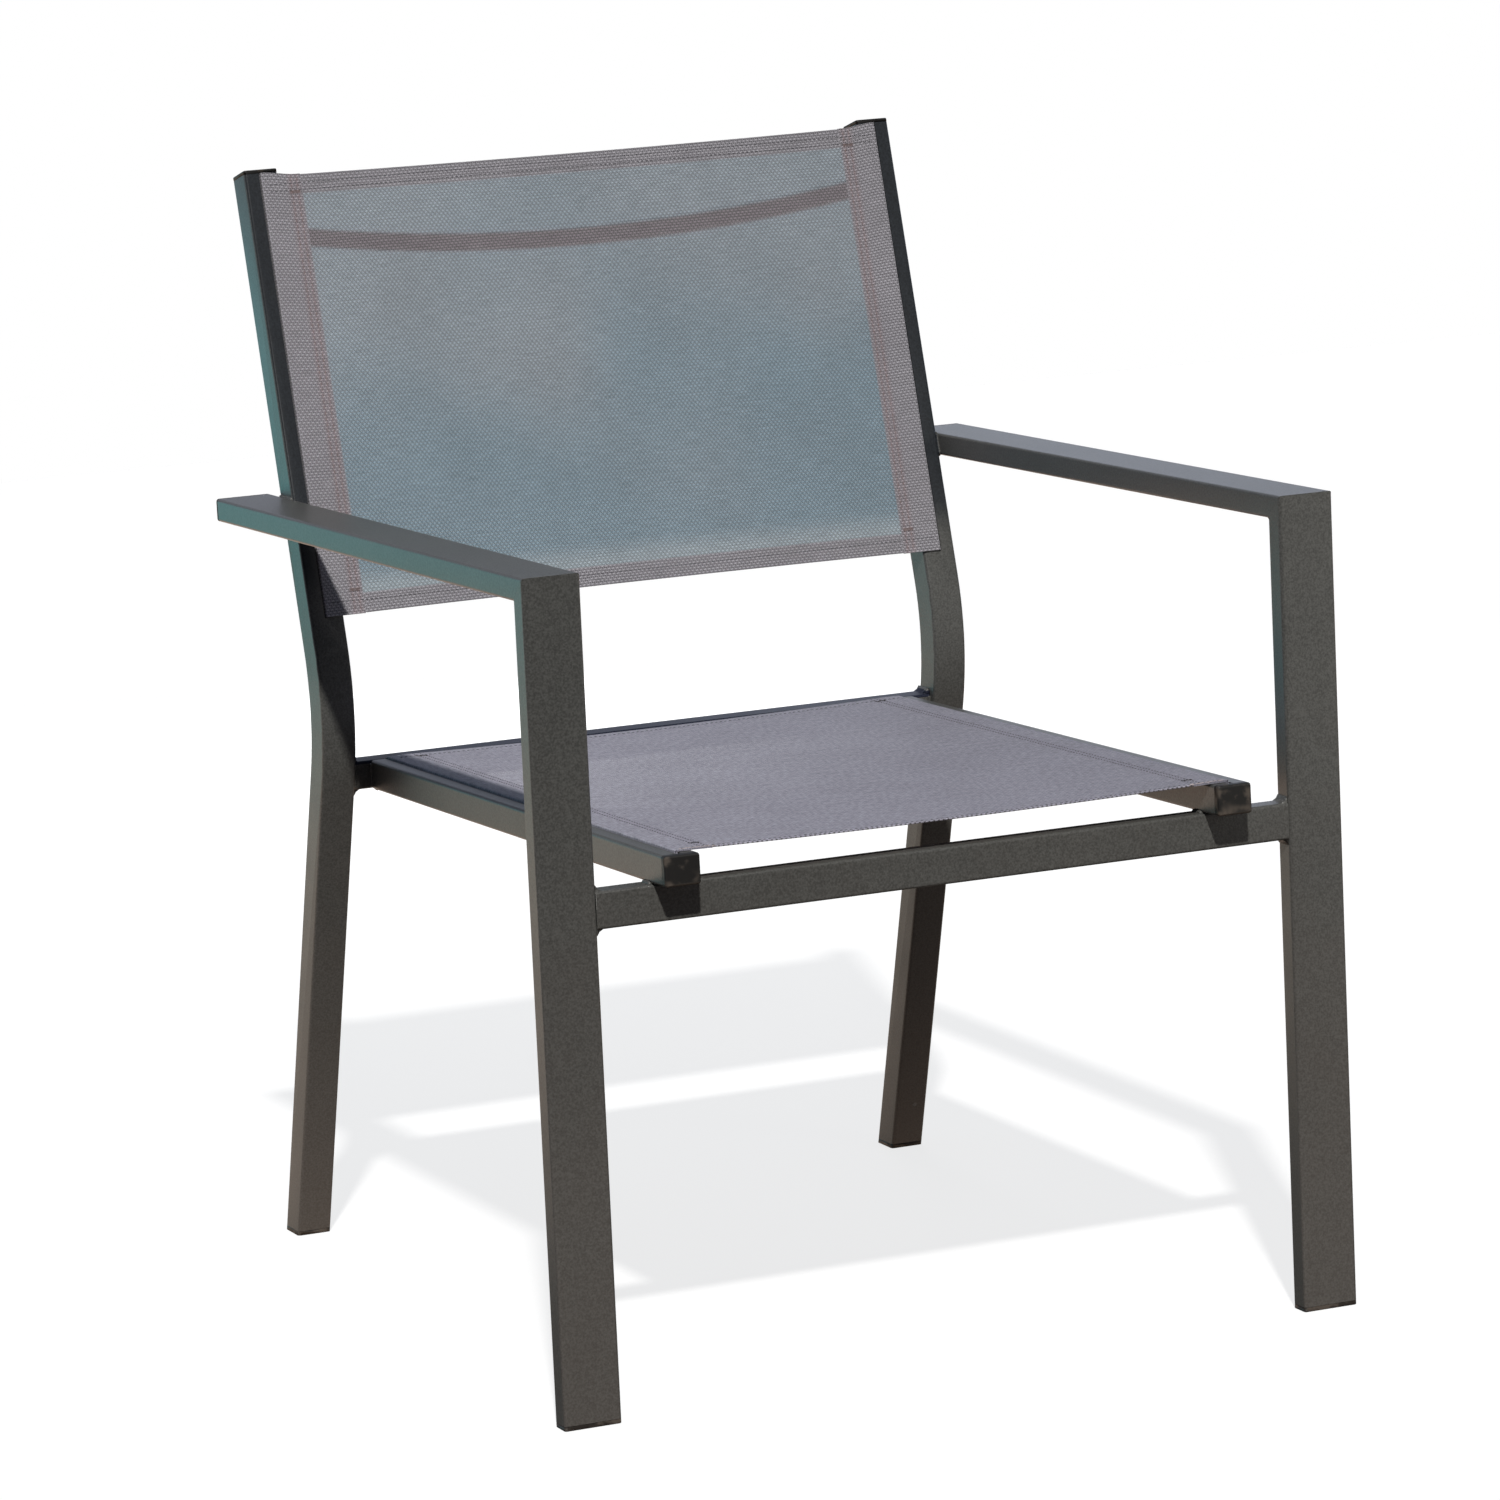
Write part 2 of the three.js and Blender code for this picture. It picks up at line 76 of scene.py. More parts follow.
class NodeSheet:
    """A node tree that is being filled, with short ways to add nodes and join them."""

    def __init__(self, tree: bpy.types.NodeTree) -> None:
        """Starts on the tree of a material, a world or a group."""
        self.tree = tree

    def add(self, kind: str, feeds: dict | None = None, **settings: object) -> bpy.types.Node:
        """Adds a node.

        Args:
            kind: The node's Blender type.
            feeds: What goes into its inputs, by name or number.
            settings: Properties to set on it.

        Returns:
            The new node.
        """
        node = self.tree.nodes.new(kind)
        for name, value in settings.items():
            setattr(node, name, value)
        self.feed(node, feeds or {})
        return node

    def feed(self, node: bpy.types.Node, feeds: dict) -> None:
        """Links other sockets to a node's inputs, or sets the inputs' own values.

        Args:
            node: The node.
            feeds: A socket, a number or a colour for each input, by name or number.
        """
        for key, value in feeds.items():
            socket = node.inputs[key]
            if isinstance(value, Socket):
                self.tree.links.new(value, socket)
            elif isinstance(value, tuple) and socket.type == "RGBA":
                socket.default_value = (*value, 1.0)
            else:
                socket.default_value = value

    def maths(self, operation: str, *values: object) -> Socket:
        """Works a Math node's operation out on its values."""
        return self.add("ShaderNodeMath", dict(enumerate(values)), operation=operation).outputs[0]

    def times(self, first: object, second: object) -> Socket:
        """Multiplies two values."""
        return self.maths("MULTIPLY", first, second)

    def linear(self, value: object, factor: object, start: object) -> Socket:
        """Multiplies a value by a factor and adds a start."""
        return self.maths("MULTIPLY_ADD", value, factor, start)

    def axis(self, vector: Socket, name: str) -> Socket:
        """Takes the part of a vector along X, Y or Z."""
        return self.add("ShaderNodeSeparateXYZ", {0: vector}).outputs[name]

    def scaled(self, vector: Socket, *factors: float) -> Socket:
        """Multiplies a vector by one factor along each axis."""
        return self.add("ShaderNodeVectorMath", {0: vector, 1: factors}, operation="MULTIPLY").outputs[0]

    def mixed(self, share: object, first: object, second: object) -> Socket:
        """Mixes two colours by the second one's share."""
        feeds = {"Factor": share, 6: first, 7: second}
        return self.add("ShaderNodeMix", feeds, data_type="RGBA").outputs[2]

    def tinted(self, colour: object, factor: object) -> Socket:
        """Multiplies a colour by another colour or a value."""
        feeds = {"Factor": 1.0, 6: colour, 7: factor}
        return self.add("ShaderNodeMix", feeds, data_type="RGBA", blend_type="MULTIPLY").outputs[2]

    def ranged(self, value: object, low: object, high: object, start: float, end: float) -> Socket:
        """Turns the range from low to high into the one from start to end, smoothly and clamped."""
        feeds = {"Value": value, "From Min": low, "From Max": high, "To Min": start, "To Max": end}
        return self.add("ShaderNodeMapRange", feeds, interpolation_type="SMOOTHSTEP").outputs[0]

    def noise(self, vector: Socket, scale: object, detail: float = 2.0, output: str = "Fac") -> Socket:
        """Reads a Noise Texture at a vector, with its scale per metre and its count of finer layers."""
        feeds = {"Vector": vector, "Scale": scale, "Detail": detail}
        return self.add("ShaderNodeTexNoise", feeds).outputs[output]

    def effect(self, group: bpy.types.NodeTree, **inputs: object) -> dict[str, Socket]:
        """Places an effect group, with underscores for the spaces in its inputs' names."""
        feeds = {name.replace("_", " "): value for name, value in inputs.items()}
        return self.add("ShaderNodeGroup", feeds, node_tree=group).outputs

    def bumped(self, height: Socket, distance: float, strength: float) -> Socket:
        """Turns a height into a normal, where a height of 1 stands for a distance in metres."""
        feeds = {"Strength": strength, "Distance": distance, "Height": height}
        return self.add("ShaderNodeBump", feeds).outputs["Normal"]


def new_group(
    name: str, values: Sequence[str], results: Sequence[str]
) -> tuple[NodeSheet, dict, bpy.types.Node]:
    """Starts an effect group, which reads a vector and some values.

    Args:
        name: The group's name.
        values: The names of its values.
        results: The names of its results.

    Returns:
        Its sheet, its inputs' sockets by name, and the node that its results go to.
    """
    tree = bpy.data.node_groups.new(name, "ShaderNodeTree")
    tree.interface.new_socket(name="Vector", in_out="INPUT", socket_type="NodeSocketVector")
    for labels, in_out in ((values, "INPUT"), (results, "OUTPUT")):
        for label in labels:
            tree.interface.new_socket(name=label, in_out=in_out, socket_type="NodeSocketFloat")
    sheet = NodeSheet(tree)
    return sheet, sheet.add("NodeGroupInput").outputs, sheet.add("NodeGroupOutput")


def plain_weave_group() -> bpy.types.NodeTree:
    """Builds the plain weave of round yarns, whose weft floats lean the way that the yarn is twisted.

    Returns:
        The group, which gives the yarns' height, the crowns of the weft's floats, and the pinholes.
    """
    pitches = ("Warp Pitch", "Weft Pitch")
    sheet, given, out = new_group("plain_weave", pitches, ("Height", "Crown", "Pinhole"))
    warp_swing, weft_swing = 0.45, 0.28
    crown_range, hole_range = (-0.1, 0.95), (0.3, 0.5)
    across = sheet.maths("DIVIDE", sheet.axis(given["Vector"], "X"), given["Warp Pitch"])
    along = sheet.maths("DIVIDE", sheet.axis(given["Vector"], "Y"), given["Weft Pitch"])
    warp, weft = (
        sheet.maths("ABSOLUTE", sheet.maths("SINE", sheet.times(yarns, math.pi)))
        for yarns in (across, along)
    )
    lift = sheet.maths("SINE", sheet.times(sheet.maths("SUBTRACT", across, along), math.pi))
    warp_height = sheet.times(warp, sheet.linear(lift, -warp_swing, warp_swing))
    weft_height = sheet.times(weft, sheet.linear(lift, weft_swing, 1 - weft_swing))
    sheet.feed(out, {
        "Height": sheet.maths("MAXIMUM", warp_height, weft_height),
        "Crown": sheet.ranged(sheet.times(lift, weft), *crown_range, 0.0, 1.0),
        "Pinhole": sheet.ranged(sheet.maths("MAXIMUM", warp, weft), *hole_range, 1.0, 0.0),
    })
    return sheet.tree


def mottle_group() -> bpy.types.NodeTree:
    """Builds the broad and fine unevenness of a coated or woven surface.

    Returns:
        The group, which gives a factor about 1.
    """
    sheet, given, out = new_group("mottle", ("Scale", "Amount"), ("Factor",))
    fineness, fine_share, detail = 14.0, 0.3, 3.0
    broad = sheet.noise(given["Vector"], given["Scale"], detail)
    fine = sheet.noise(given["Vector"], sheet.times(given["Scale"], fineness))
    both = sheet.maths("ADD", sheet.maths("SUBTRACT", broad, 0.5), sheet.times(fine, fine_share))
    centred = sheet.maths("SUBTRACT", both, 0.5 * fine_share)
    sheet.feed(out, {"Factor": sheet.linear(centred, given["Amount"], 1.0)})
    return sheet.tree


def ground_dust_group() -> bpy.types.NodeTree:
    """Builds the dust that settles low on an outdoor frame.

    Returns:
        The group, which gives a mask that fades out up to a height.
    """
    sheet, given, out = new_group("ground_dust", ("Height",), ("Mask",))
    patch_scale, unevenness, detail = 22.0, 0.5, 4.0
    share = sheet.maths("DIVIDE", sheet.axis(given["Vector"], "Z"), given["Height"])
    patches = sheet.noise(given["Vector"], patch_scale, detail)
    uneven = sheet.linear(patches, unevenness, -0.5 * unevenness)
    sheet.feed(out, {"Mask": sheet.ranged(sheet.maths("ADD", share, uneven), 0.0, 1.0, 1.0, 0.0)})
    return sheet.tree


def specks_group() -> bpy.types.NodeTree:
    """Builds sparse specks of pale dust.

    Returns:
        The group, which gives the specks' mask.
    """
    sheet, given, out = new_group("specks", ("Scale", "Share"), ("Mask",))
    core, edge = 0.05, 0.11
    cells = sheet.add("ShaderNodeTexVoronoi", {"Vector": given["Vector"], "Scale": given["Scale"]}).outputs
    chosen = sheet.maths("LESS_THAN", sheet.axis(cells["Color"], "X"), given["Share"])
    sheet.feed(out, {"Mask": sheet.times(sheet.ranged(cells["Distance"], core, edge, 1.0, 0.0), chosen)})
    return sheet.tree


def smudges_group() -> bpy.types.NodeTree:
    """Builds the smears of dried dust on plastic.

    Returns:
        The group, which gives the smudges' mask.
    """
    sheet, given, out = new_group("smudges", ("Scale", "Start"), ("Mask",))
    softness, detail = 0.16, 5.0
    cloud = sheet.noise(given["Vector"], given["Scale"], detail)
    end = sheet.maths("ADD", given["Start"], softness)
    sheet.feed(out, {"Mask": sheet.ranged(cloud, given["Start"], end, 0.0, 1.0)})
    return sheet.tree


@dataclass(frozen=True)
class Effects:
    """The effect groups that the finishes share, each built once."""

    weave: bpy.types.NodeTree = field(default_factory=plain_weave_group)
    mottle: bpy.types.NodeTree = field(default_factory=mottle_group)
    ground_dust: bpy.types.NodeTree = field(default_factory=ground_dust_group)
    specks: bpy.types.NodeTree = field(default_factory=specks_group)
    smudges: bpy.types.NodeTree = field(default_factory=smudges_group)


# Finishes


def start_material(name: str) -> tuple[bpy.types.Material, NodeSheet, bpy.types.Node]:
    """Starts a material.

    Args:
        name: Its name.

    Returns:
        The material, its sheet and its Principled BSDF.
    """
    material = bpy.data.materials.new(name)
    material.use_nodes = True
    return material, NodeSheet(material.node_tree), material.node_tree.nodes["Principled BSDF"]


@dataclass(frozen=True)
class PowderCoat:
    """Dark grey powder coat: a fine skin, a few specks, dust low down, and two zones of painted shade.

    One zone is the posts' fronts beside the back's cloth, the other the rear crossbar's top; both are
    painted darker and bluer, and the crossbar's top also has less shine.
    """

    crossbar_front: float
    crossbar_top: float
    colour: Colour = (0.064, 0.0645, 0.0605)
    mottle_scale: float = 11.0
    mottle: float = 0.34
    grain_scale: float = 760.0
    grain: float = 0.32
    grain_range: tuple[float, float] = (0.25, 0.75)
    dust: Colour = (0.125, 0.098, 0.082)
    dust_height: float = 0.46
    dust_share: float = 0.26
    dust_roughness: float = 0.16
    # Painted shade on the posts' fronts beside the back's cloth, and on the rear crossbar's top
    painted_post_shade: Colour = (0.26, 0.30, 0.38)
    painted_post_shade_height: float = 500 * MM
    painted_post_shade_fade: float = 30 * MM
    half_inside: float = 249.2 * MM
    painted_top_shade: Colour = (0.24, 0.28, 0.50)
    top_margin: float = 2.5 * MM
    speck: Colour = (0.24, 0.23, 0.21)
    speck_scale: float = 46.0
    speck_share: float = 0.07
    skin_scale: float = 900.0
    skin_height: float = 0.14 * MM
    skin_strength: float = 0.7
    skin_roughness: float = 0.1
    roughness: float = 0.32
    specular: float = 0.5
    painted_shade_specular: float = 0.08

    def material(self, effects: Effects) -> bpy.types.Material:
        """Builds the finish.

        Args:
            effects: The shared effect groups.

        Returns:
            The material.
        """
        material, sheet, shader = start_material("powder_coat")
        place = sheet.add("ShaderNodeTexCoord").outputs["Object"]
        mottle = sheet.effect(effects.mottle, Vector=place, Scale=self.mottle_scale, Amount=self.mottle)[0]
        spread = (1 - self.grain, 1 + self.grain)
        grain = sheet.ranged(sheet.noise(place, self.grain_scale), *self.grain_range, *spread)
        dust = sheet.effect(effects.ground_dust, Vector=place, Height=self.dust_height)[0]
        tone = sheet.tinted(self.colour, sheet.times(mottle, grain))
        tone = sheet.mixed(sheet.times(dust, self.dust_share), tone, self.dust)
        height = sheet.axis(place, "Z")
        # Painted shade: inside the armrests, the coat above about half a metre (the posts' fronts beside
        # the back's cloth) is painted darker and bluer
        inside = sheet.maths("LESS_THAN", sheet.maths("ABSOLUTE", sheet.axis(place, "X")), self.half_inside)
        above = sheet.ranged(
            height, self.painted_post_shade_height - self.painted_post_shade_fade, self.painted_post_shade_height, 0.0, 1.0
        )
        tone = sheet.mixed(sheet.times(above, inside), tone, sheet.tinted(tone, self.painted_post_shade))
        # Painted shade: the rear crossbar's top is painted darker and bluer, with less shine
        behind = sheet.maths("GREATER_THAN", sheet.axis(place, "Y"), self.crossbar_front)
        level = sheet.maths("COMPARE", height, self.crossbar_top, self.top_margin)
        painted_top_shade_mask = sheet.times(behind, sheet.times(level, inside))
        tone = sheet.mixed(painted_top_shade_mask, tone, sheet.tinted(tone, self.painted_top_shade))
        specks = sheet.effect(
            effects.specks, Vector=place, Scale=self.speck_scale, Share=self.speck_share
        )[0]
        skin = sheet.noise(place, self.skin_scale)
        roughness = sheet.linear(dust, self.dust_roughness, self.roughness)
        sheet.feed(shader, {
            "Base Color": sheet.mixed(specks, tone, self.speck),
            "Metallic": 0.0,
            "Roughness": sheet.linear(skin, self.skin_roughness, roughness),
            "Specular IOR Level": sheet.linear(painted_top_shade_mask, self.painted_shade_specular - self.specular, self.specular),
            "Normal": sheet.bumped(skin, self.skin_height, self.skin_strength),
        })
        return material


@dataclass(frozen=True)
class MouldedPlastic:
    """Moulded plastic: a spark-eroded skin, smears of dried dust, and dust settled along a lower edge."""

    name: str
    colour: Colour
    mottle_scale: float = 60.0
    mottle: float = 0.4
    dust: Colour = (0.15, 0.12, 0.095)
    smudge_scale: float = 85.0
    smudge_start: float = 0.56
    smudge_share: float = 0.4
    smudge_roughness: float = 0.3
    settled_from: float | None = None
    settled_rise: float = 11 * MM
    settled_share: float = 0.55
    rim_rise: float = 2.5 * MM
    rim_share: float = 0.5
    patch_scale: float = 75.0
    patch_range: tuple[float, float] = (0.46, 0.64)
    skin_scale: float = 1500.0
    skin_height: float = 0.08 * MM
    skin_strength: float = 0.4
    roughness: float = 0.5
    specular: float = 0.35

    def material(self, effects: Effects) -> bpy.types.Material:
        """Builds the finish.

        Args:
            effects: The shared effect groups.

        Returns:
            The material.
        """
        material, sheet, shader = start_material(self.name)
        place = sheet.add("ShaderNodeTexCoord").outputs["Object"]
        mottle = sheet.effect(effects.mottle, Vector=place, Scale=self.mottle_scale, Amount=self.mottle)[0]
        smudge = sheet.effect(
            effects.smudges, Vector=place, Scale=self.smudge_scale, Start=self.smudge_start
        )[0]
        skin = sheet.noise(place, self.skin_scale)
        share = sheet.times(smudge, self.smudge_share)
        if self.settled_from is not None:
            share = sheet.maths("MAXIMUM", share, self.settled(sheet, place))
        sheet.feed(shader, {
            "Base Color": sheet.mixed(share, sheet.tinted(self.colour, mottle), self.dust),
            "Roughness": sheet.linear(smudge, self.smudge_roughness, self.roughness),
            "Specular IOR Level": self.specular,
            "Normal": sheet.bumped(skin, self.skin_height, self.skin_strength),
        })
        return material

    def settled(self, sheet: NodeSheet, place: Socket) -> Socket:
        """Masks the dust that has settled along a lower edge.

        Args:
            sheet: The material's sheet.
            place: The place in the chair's frame.

        Returns:
            The mask.
        """
        height = sheet.axis(place, "Z")
        bottom = self.settled_from
        low = sheet.ranged(height, bottom, bottom + self.settled_rise, 1.0, 0.0)
        cloud = sheet.noise(place, self.patch_scale)
        patch = sheet.ranged(cloud, *self.patch_range, 0.0, self.settled_share)
        rim = sheet.ranged(height, bottom, bottom + self.rim_rise, self.rim_share, 0.0)
        return sheet.maths("MAXIMUM", rim, sheet.times(low, patch))


@dataclass(frozen=True)
class BarBehind:
    """The stretch of a cloth, in its own map, where the shade of a bowed bar behind it is painted."""

    middle: tuple[float, float]
    rise: float
    half_span: float
    half_width: float
    softness: float = 1.6 * MM

    def mask(self, sheet: NodeSheet, cloth: Socket) -> Socket:
        """Masks that stretch.

        Args:
            sheet: The material's sheet.
            cloth: The cloth's own map.

        Returns:
            The mask.
        """
        aside = sheet.maths("SUBTRACT", sheet.axis(cloth, "X"), self.middle[0])
        share = sheet.maths("DIVIDE", aside, self.half_span)
        bow = sheet.linear(sheet.times(share, share), self.rise, self.middle[1])
        off = sheet.maths("ABSOLUTE", sheet.maths("SUBTRACT", sheet.axis(cloth, "Y"), bow))
        return sheet.ranged(off, self.half_width - self.softness, self.half_width + self.softness, 1.0, 0.0)


@dataclass(frozen=True)
class MeshCloth:
    """Woven cloth of coated yarn. What lies behind shows through its pinholes, and where it is one layer
    thick the daylight that comes through is painted into its colour.
    """

    name: str
    size: tuple[float, float]
    yarn: Colour
    # Painted light: lit and haze are colours of the daylight that comes through the single layer
    lit: Colour
    haze: Colour
    painted_bar_shade: Colour | None = None
    bar: BarBehind | None = None
    painted_glint: Colour | None = None
    painted_glint_fade: tuple[float, float] = (15 * MM, 34 * MM)
    painted_glint_share: float = 0.55
    painted_left_light: float = 0.0
    far_haze: float = 0.0
    cloud_scale: float = 4.5
    cloud_detail: float = 1.5
    cloud_range: tuple[float, float] = (0.3, 0.7)
    haze_share: float = 0.9
    mottle_scale: float = 16.0
    mottle: float = 0.3
    stitch_tint: Colour = (0.93, 0.92, 0.92)
    warp_pitch: float = 1.594 * MM
    weft_pitch: float = 2.0 * MM
    wander: Place = (1.2 * MM, 0.5 * MM, 0.0)
    wander_scale: float = 60.0
    slub_scale: Place = (70.0, 700.0, 1.0)
    fleck_scale: Place = (420.0, 420.0, 1.0)
    drawn_scale: Place = (520.0, 140.0, 1.0)
    depth: float = 0.5
    uneven_yarn: float = 0.1
    bump: float = 0.35 * MM
    bump_strength: float = 0.7
    roughness: float = 0.54
    slub_roughness: float = 0.16
    specular: float = 0.3
    sheen: float = 0.08

    def lit_through(self, sheet: NodeSheet, cloth: Socket) -> Socket:
        """Paints the single layer's colour with the daylight that comes through it, which is painted light,
        together with a painted glint and the bar's painted shade.

        Args:
            sheet: The material's sheet.
            cloth: The cloth's own map.

        Returns:
            The colour.
        """
        # Painted light: hazier patches of daylight, more of them towards the far end
        along = sheet.maths("DIVIDE", sheet.axis(cloth, "Y"), self.size[1])
        drift = sheet.linear(along, self.far_haze, -0.5 * self.far_haze)
        cloud = sheet.maths("ADD", sheet.noise(cloth, self.cloud_scale, self.cloud_detail), drift)
        share = sheet.ranged(cloud, *self.cloud_range, 0.0, self.haze_share)
        tone = sheet.mixed(share, self.lit, self.haze)
        # A painted glint along the near hem, where light shines through
        if self.painted_glint:
            low = sheet.ranged(sheet.axis(cloth, "Y"), *self.painted_glint_fade, self.painted_glint_share, 0.0)
            tone = sheet.mixed(low, tone, self.painted_glint)
        # The painted shade of the bar behind the cloth
        if self.bar:
            tone = sheet.mixed(self.bar.mask(sheet, cloth), tone, self.painted_bar_shade)
        return tone

    def material(self, effects: Effects) -> bpy.types.Material:
        """Builds the finish, which reads the cloth's own UV map, in metres, and its two painted attributes.

        Args:
            effects: The shared effect groups.

        Returns:
            The material.
        """
        material, sheet, shader = start_material(self.name)
        cloth = sheet.add("ShaderNodeUVMap", uv_map=CLOTH_MAP).outputs["UV"]
        single, sewn = (
            sheet.add("ShaderNodeAttribute", attribute_name=name).outputs["Fac"]
            for name in (SINGLE_LAYER, SEWN)
        )
        uneven = sheet.noise(cloth, self.wander_scale, output="Color")
        feeds = {0: uneven, 1: self.wander, 2: cloth}
        place = sheet.add("ShaderNodeVectorMath", feeds, operation="MULTIPLY_ADD").outputs[0]
        weave = sheet.effect(
            effects.weave, Vector=place, Warp_Pitch=self.warp_pitch, Weft_Pitch=self.weft_pitch
        )
        mottle = sheet.effect(effects.mottle, Vector=cloth, Scale=self.mottle_scale, Amount=self.mottle)[0]
        slub = sheet.noise(sheet.scaled(cloth, *self.slub_scale), 1.0)
        fleck = sheet.noise(sheet.scaled(cloth, *self.fleck_scale), 1.0, 1.0)
        drawn = sheet.noise(sheet.scaled(cloth, *self.drawn_scale), 1.0, 1.0)
        # Painted shade in the weave's valleys and painted glints on the crowns of the weft's floats; the
        # slub streaks are the yarn's own uneven tone
        height_gain, valley_loss, crown_gain, slub_gain = 1.5, 1.15, 1.6, 1.2
        painted_valley_shade = sheet.linear(weave["Height"], height_gain * self.depth, 1 - valley_loss * self.depth)
        painted_crown_glint = sheet.times(weave["Crown"], sheet.times(fleck, crown_gain * self.depth))
        streak = sheet.linear(slub, slub_gain * self.depth, 1 - 0.5 * slub_gain * self.depth)
        streak = sheet.times(streak, sheet.linear(drawn, self.uneven_yarn, 1 - 0.5 * self.uneven_yarn))
        # Painted light: lighter towards the cloth's left edge, darker towards its right
        across = sheet.maths("DIVIDE", sheet.axis(cloth, "X"), self.size[0])
        painted_left_slope = sheet.linear(across, -self.painted_left_light, 1 + 0.5 * self.painted_left_light)
        weave_tone_and_painted_light = sheet.times(sheet.times(sheet.maths("ADD", painted_valley_shade, painted_crown_glint), streak), painted_left_slope)
        tone = sheet.mixed(single, self.yarn, self.lit_through(sheet, cloth))
        tone = sheet.mixed(sewn, tone, sheet.tinted(tone, self.stitch_tint))
        sheet.feed(shader, {
            "Base Color": sheet.tinted(sheet.tinted(tone, mottle), weave_tone_and_painted_light),
            "Alpha": sheet.maths("SUBTRACT", 1.0, weave["Pinhole"]),
            "Roughness": sheet.linear(slub, self.slub_roughness, self.roughness),
            "Specular IOR Level": self.specular,
            "Sheen Weight": self.sheen,
            "Normal": sheet.bumped(weave["Height"], self.bump, self.bump_strength),
        })
        return material


@dataclass(frozen=True)
class SewingThread:
    """Twisted sewing thread."""

    name: str
    colour: Colour
    mottle_scale: float = 210.0
    mottle: float = 0.9
    twist_scale: float = 420.0
    twist_height: float = 0.08 * MM
    twist_strength: float = 0.5
    twist_roughness: float = 0.1
    roughness: float = 0.6

    def material(self, effects: Effects) -> bpy.types.Material:
        """Builds the finish.

        Args:
            effects: The shared effect groups.

        Returns:
            The material.
        """
        material, sheet, shader = start_material(self.name)
        place = sheet.add("ShaderNodeTexCoord").outputs["Object"]
        mottle = sheet.effect(effects.mottle, Vector=place, Scale=self.mottle_scale, Amount=self.mottle)[0]
        feeds = {"Vector": place, "Scale": self.twist_scale}
        wave = sheet.add("ShaderNodeTexWave", feeds, wave_type="BANDS", bands_direction="DIAGONAL")
        twist = wave.outputs["Fac"]
        sheet.feed(shader, {
            "Base Color": sheet.tinted(self.colour, mottle),
            "Roughness": sheet.linear(twist, self.twist_roughness, self.roughness),
            "Normal": sheet.bumped(twist, self.twist_height, self.twist_strength),
        })
        return material


# Modelling


class Element(Enum):
    """What an edit-mode selection holds."""

    VERTICES = "VERT"
    EDGES = "EDGE"
    FACES = "FACE"


def deselect_all() -> None:
    """Leaves no object selected."""
    bpy.ops.object.select_all(action="DESELECT")


def make_active(piece: bpy.types.Object) -> None:
    """Selects one object alone and makes it the active one.

    Args:
        piece: The object.
    """
    deselect_all()
    piece.select_set(True)
    bpy.context.view_layer.objects.active = piece


def linked(name: str, data: bpy.types.ID) -> bpy.types.Object:
    """Makes an object and puts it in the scene.

    Args:
        name: Its name.
        data: Its mesh, lamp or camera.

    Returns:
        The object.
    """
    made = bpy.data.objects.new(name, data)
    bpy.context.scene.collection.objects.link(made)
    return made


def started(primitive: Callable, **settings: object) -> bpy.types.Object:
    """Adds a primitive to start a piece from, with nothing else selected.

    Args:
        primitive: The operator that adds it.
        settings: The operator's settings.

    Returns:
        The new object.
    """
    deselect_all()
    primitive(**settings)
    return bpy.context.active_object


@contextmanager
def edit_mode(piece: bpy.types.Object, element: Element = Element.FACES) -> Iterator[None]:
    """Edit mode on one object, with everything selected at the start.

    Args:
        piece: The object.
        element: What is selected.
    """
    make_active(piece)
    bpy.ops.object.mode_set(mode="EDIT")
    bpy.ops.mesh.select_mode(type=element.value)
    bpy.ops.mesh.select_all(action="SELECT")
    yield
    bpy.ops.object.mode_set(mode="OBJECT")


def select_where(piece: bpy.types.Object, element: Element, chosen: Callable[[object], bool]) -> None:
    """Selects the elements that pass a test, in edit mode, and nothing else.

    Args:
        piece: The object in edit mode.
        element: What is selected.
        chosen: The test on a bmesh element.
    """
    bpy.ops.mesh.select_mode(type=element.value)
    bpy.ops.mesh.select_all(action="DESELECT")
    mesh = bmesh.from_edit_mesh(piece.data)
    items = {Element.VERTICES: mesh.verts, Element.EDGES: mesh.edges, Element.FACES: mesh.faces}[element]
    for item in filter(chosen, items):
        item.select_set(True)
    mesh.select_flush_mode()
    bmesh.update_edit_mesh(piece.data)


def turn_outward() -> None:
    """Turns all faces of the mesh in edit mode outward."""
    bpy.ops.mesh.select_all(action="SELECT")
    bpy.ops.mesh.normals_make_consistent(inside=False)


def apply_modifier(piece: bpy.types.Object, kind: str, **settings: object) -> None:
    """Adds a modifier and applies it.

    Args:
        piece: The object.
        kind: The modifier's type.
        settings: Properties to set on it.
    """
    make_active(piece)
    modifier = piece.modifiers.new(kind.lower(), kind)
    for name, value in settings.items():
        setattr(modifier, name, value)
    bpy.ops.object.modifier_apply(modifier=modifier.name)


def shade_smooth(piece: bpy.types.Object, degrees: float = 34.0) -> None:
    """Smooths a piece's shading up to an angle, with its large faces kept flat.

    Args:
        piece: The object.
        degrees: The widest angle that is smoothed.
    """
    make_active(piece)
    bpy.ops.object.shade_smooth_by_angle(angle=math.radians(degrees))
    apply_modifier(piece, "WEIGHTED_NORMAL", mode="FACE_AREA_WITH_ANGLE", keep_sharp=True)


def place_mesh(piece: bpy.types.Object, matrix: Matrix) -> bpy.types.Object:
    """Moves a mesh into its place, with its object left at the origin.

    Args:
        piece: The object, at the origin.
        matrix: Where its mesh goes.

    Returns:
        The same object.
    """
    piece.data.transform(matrix)
    piece.data.update()
    return piece


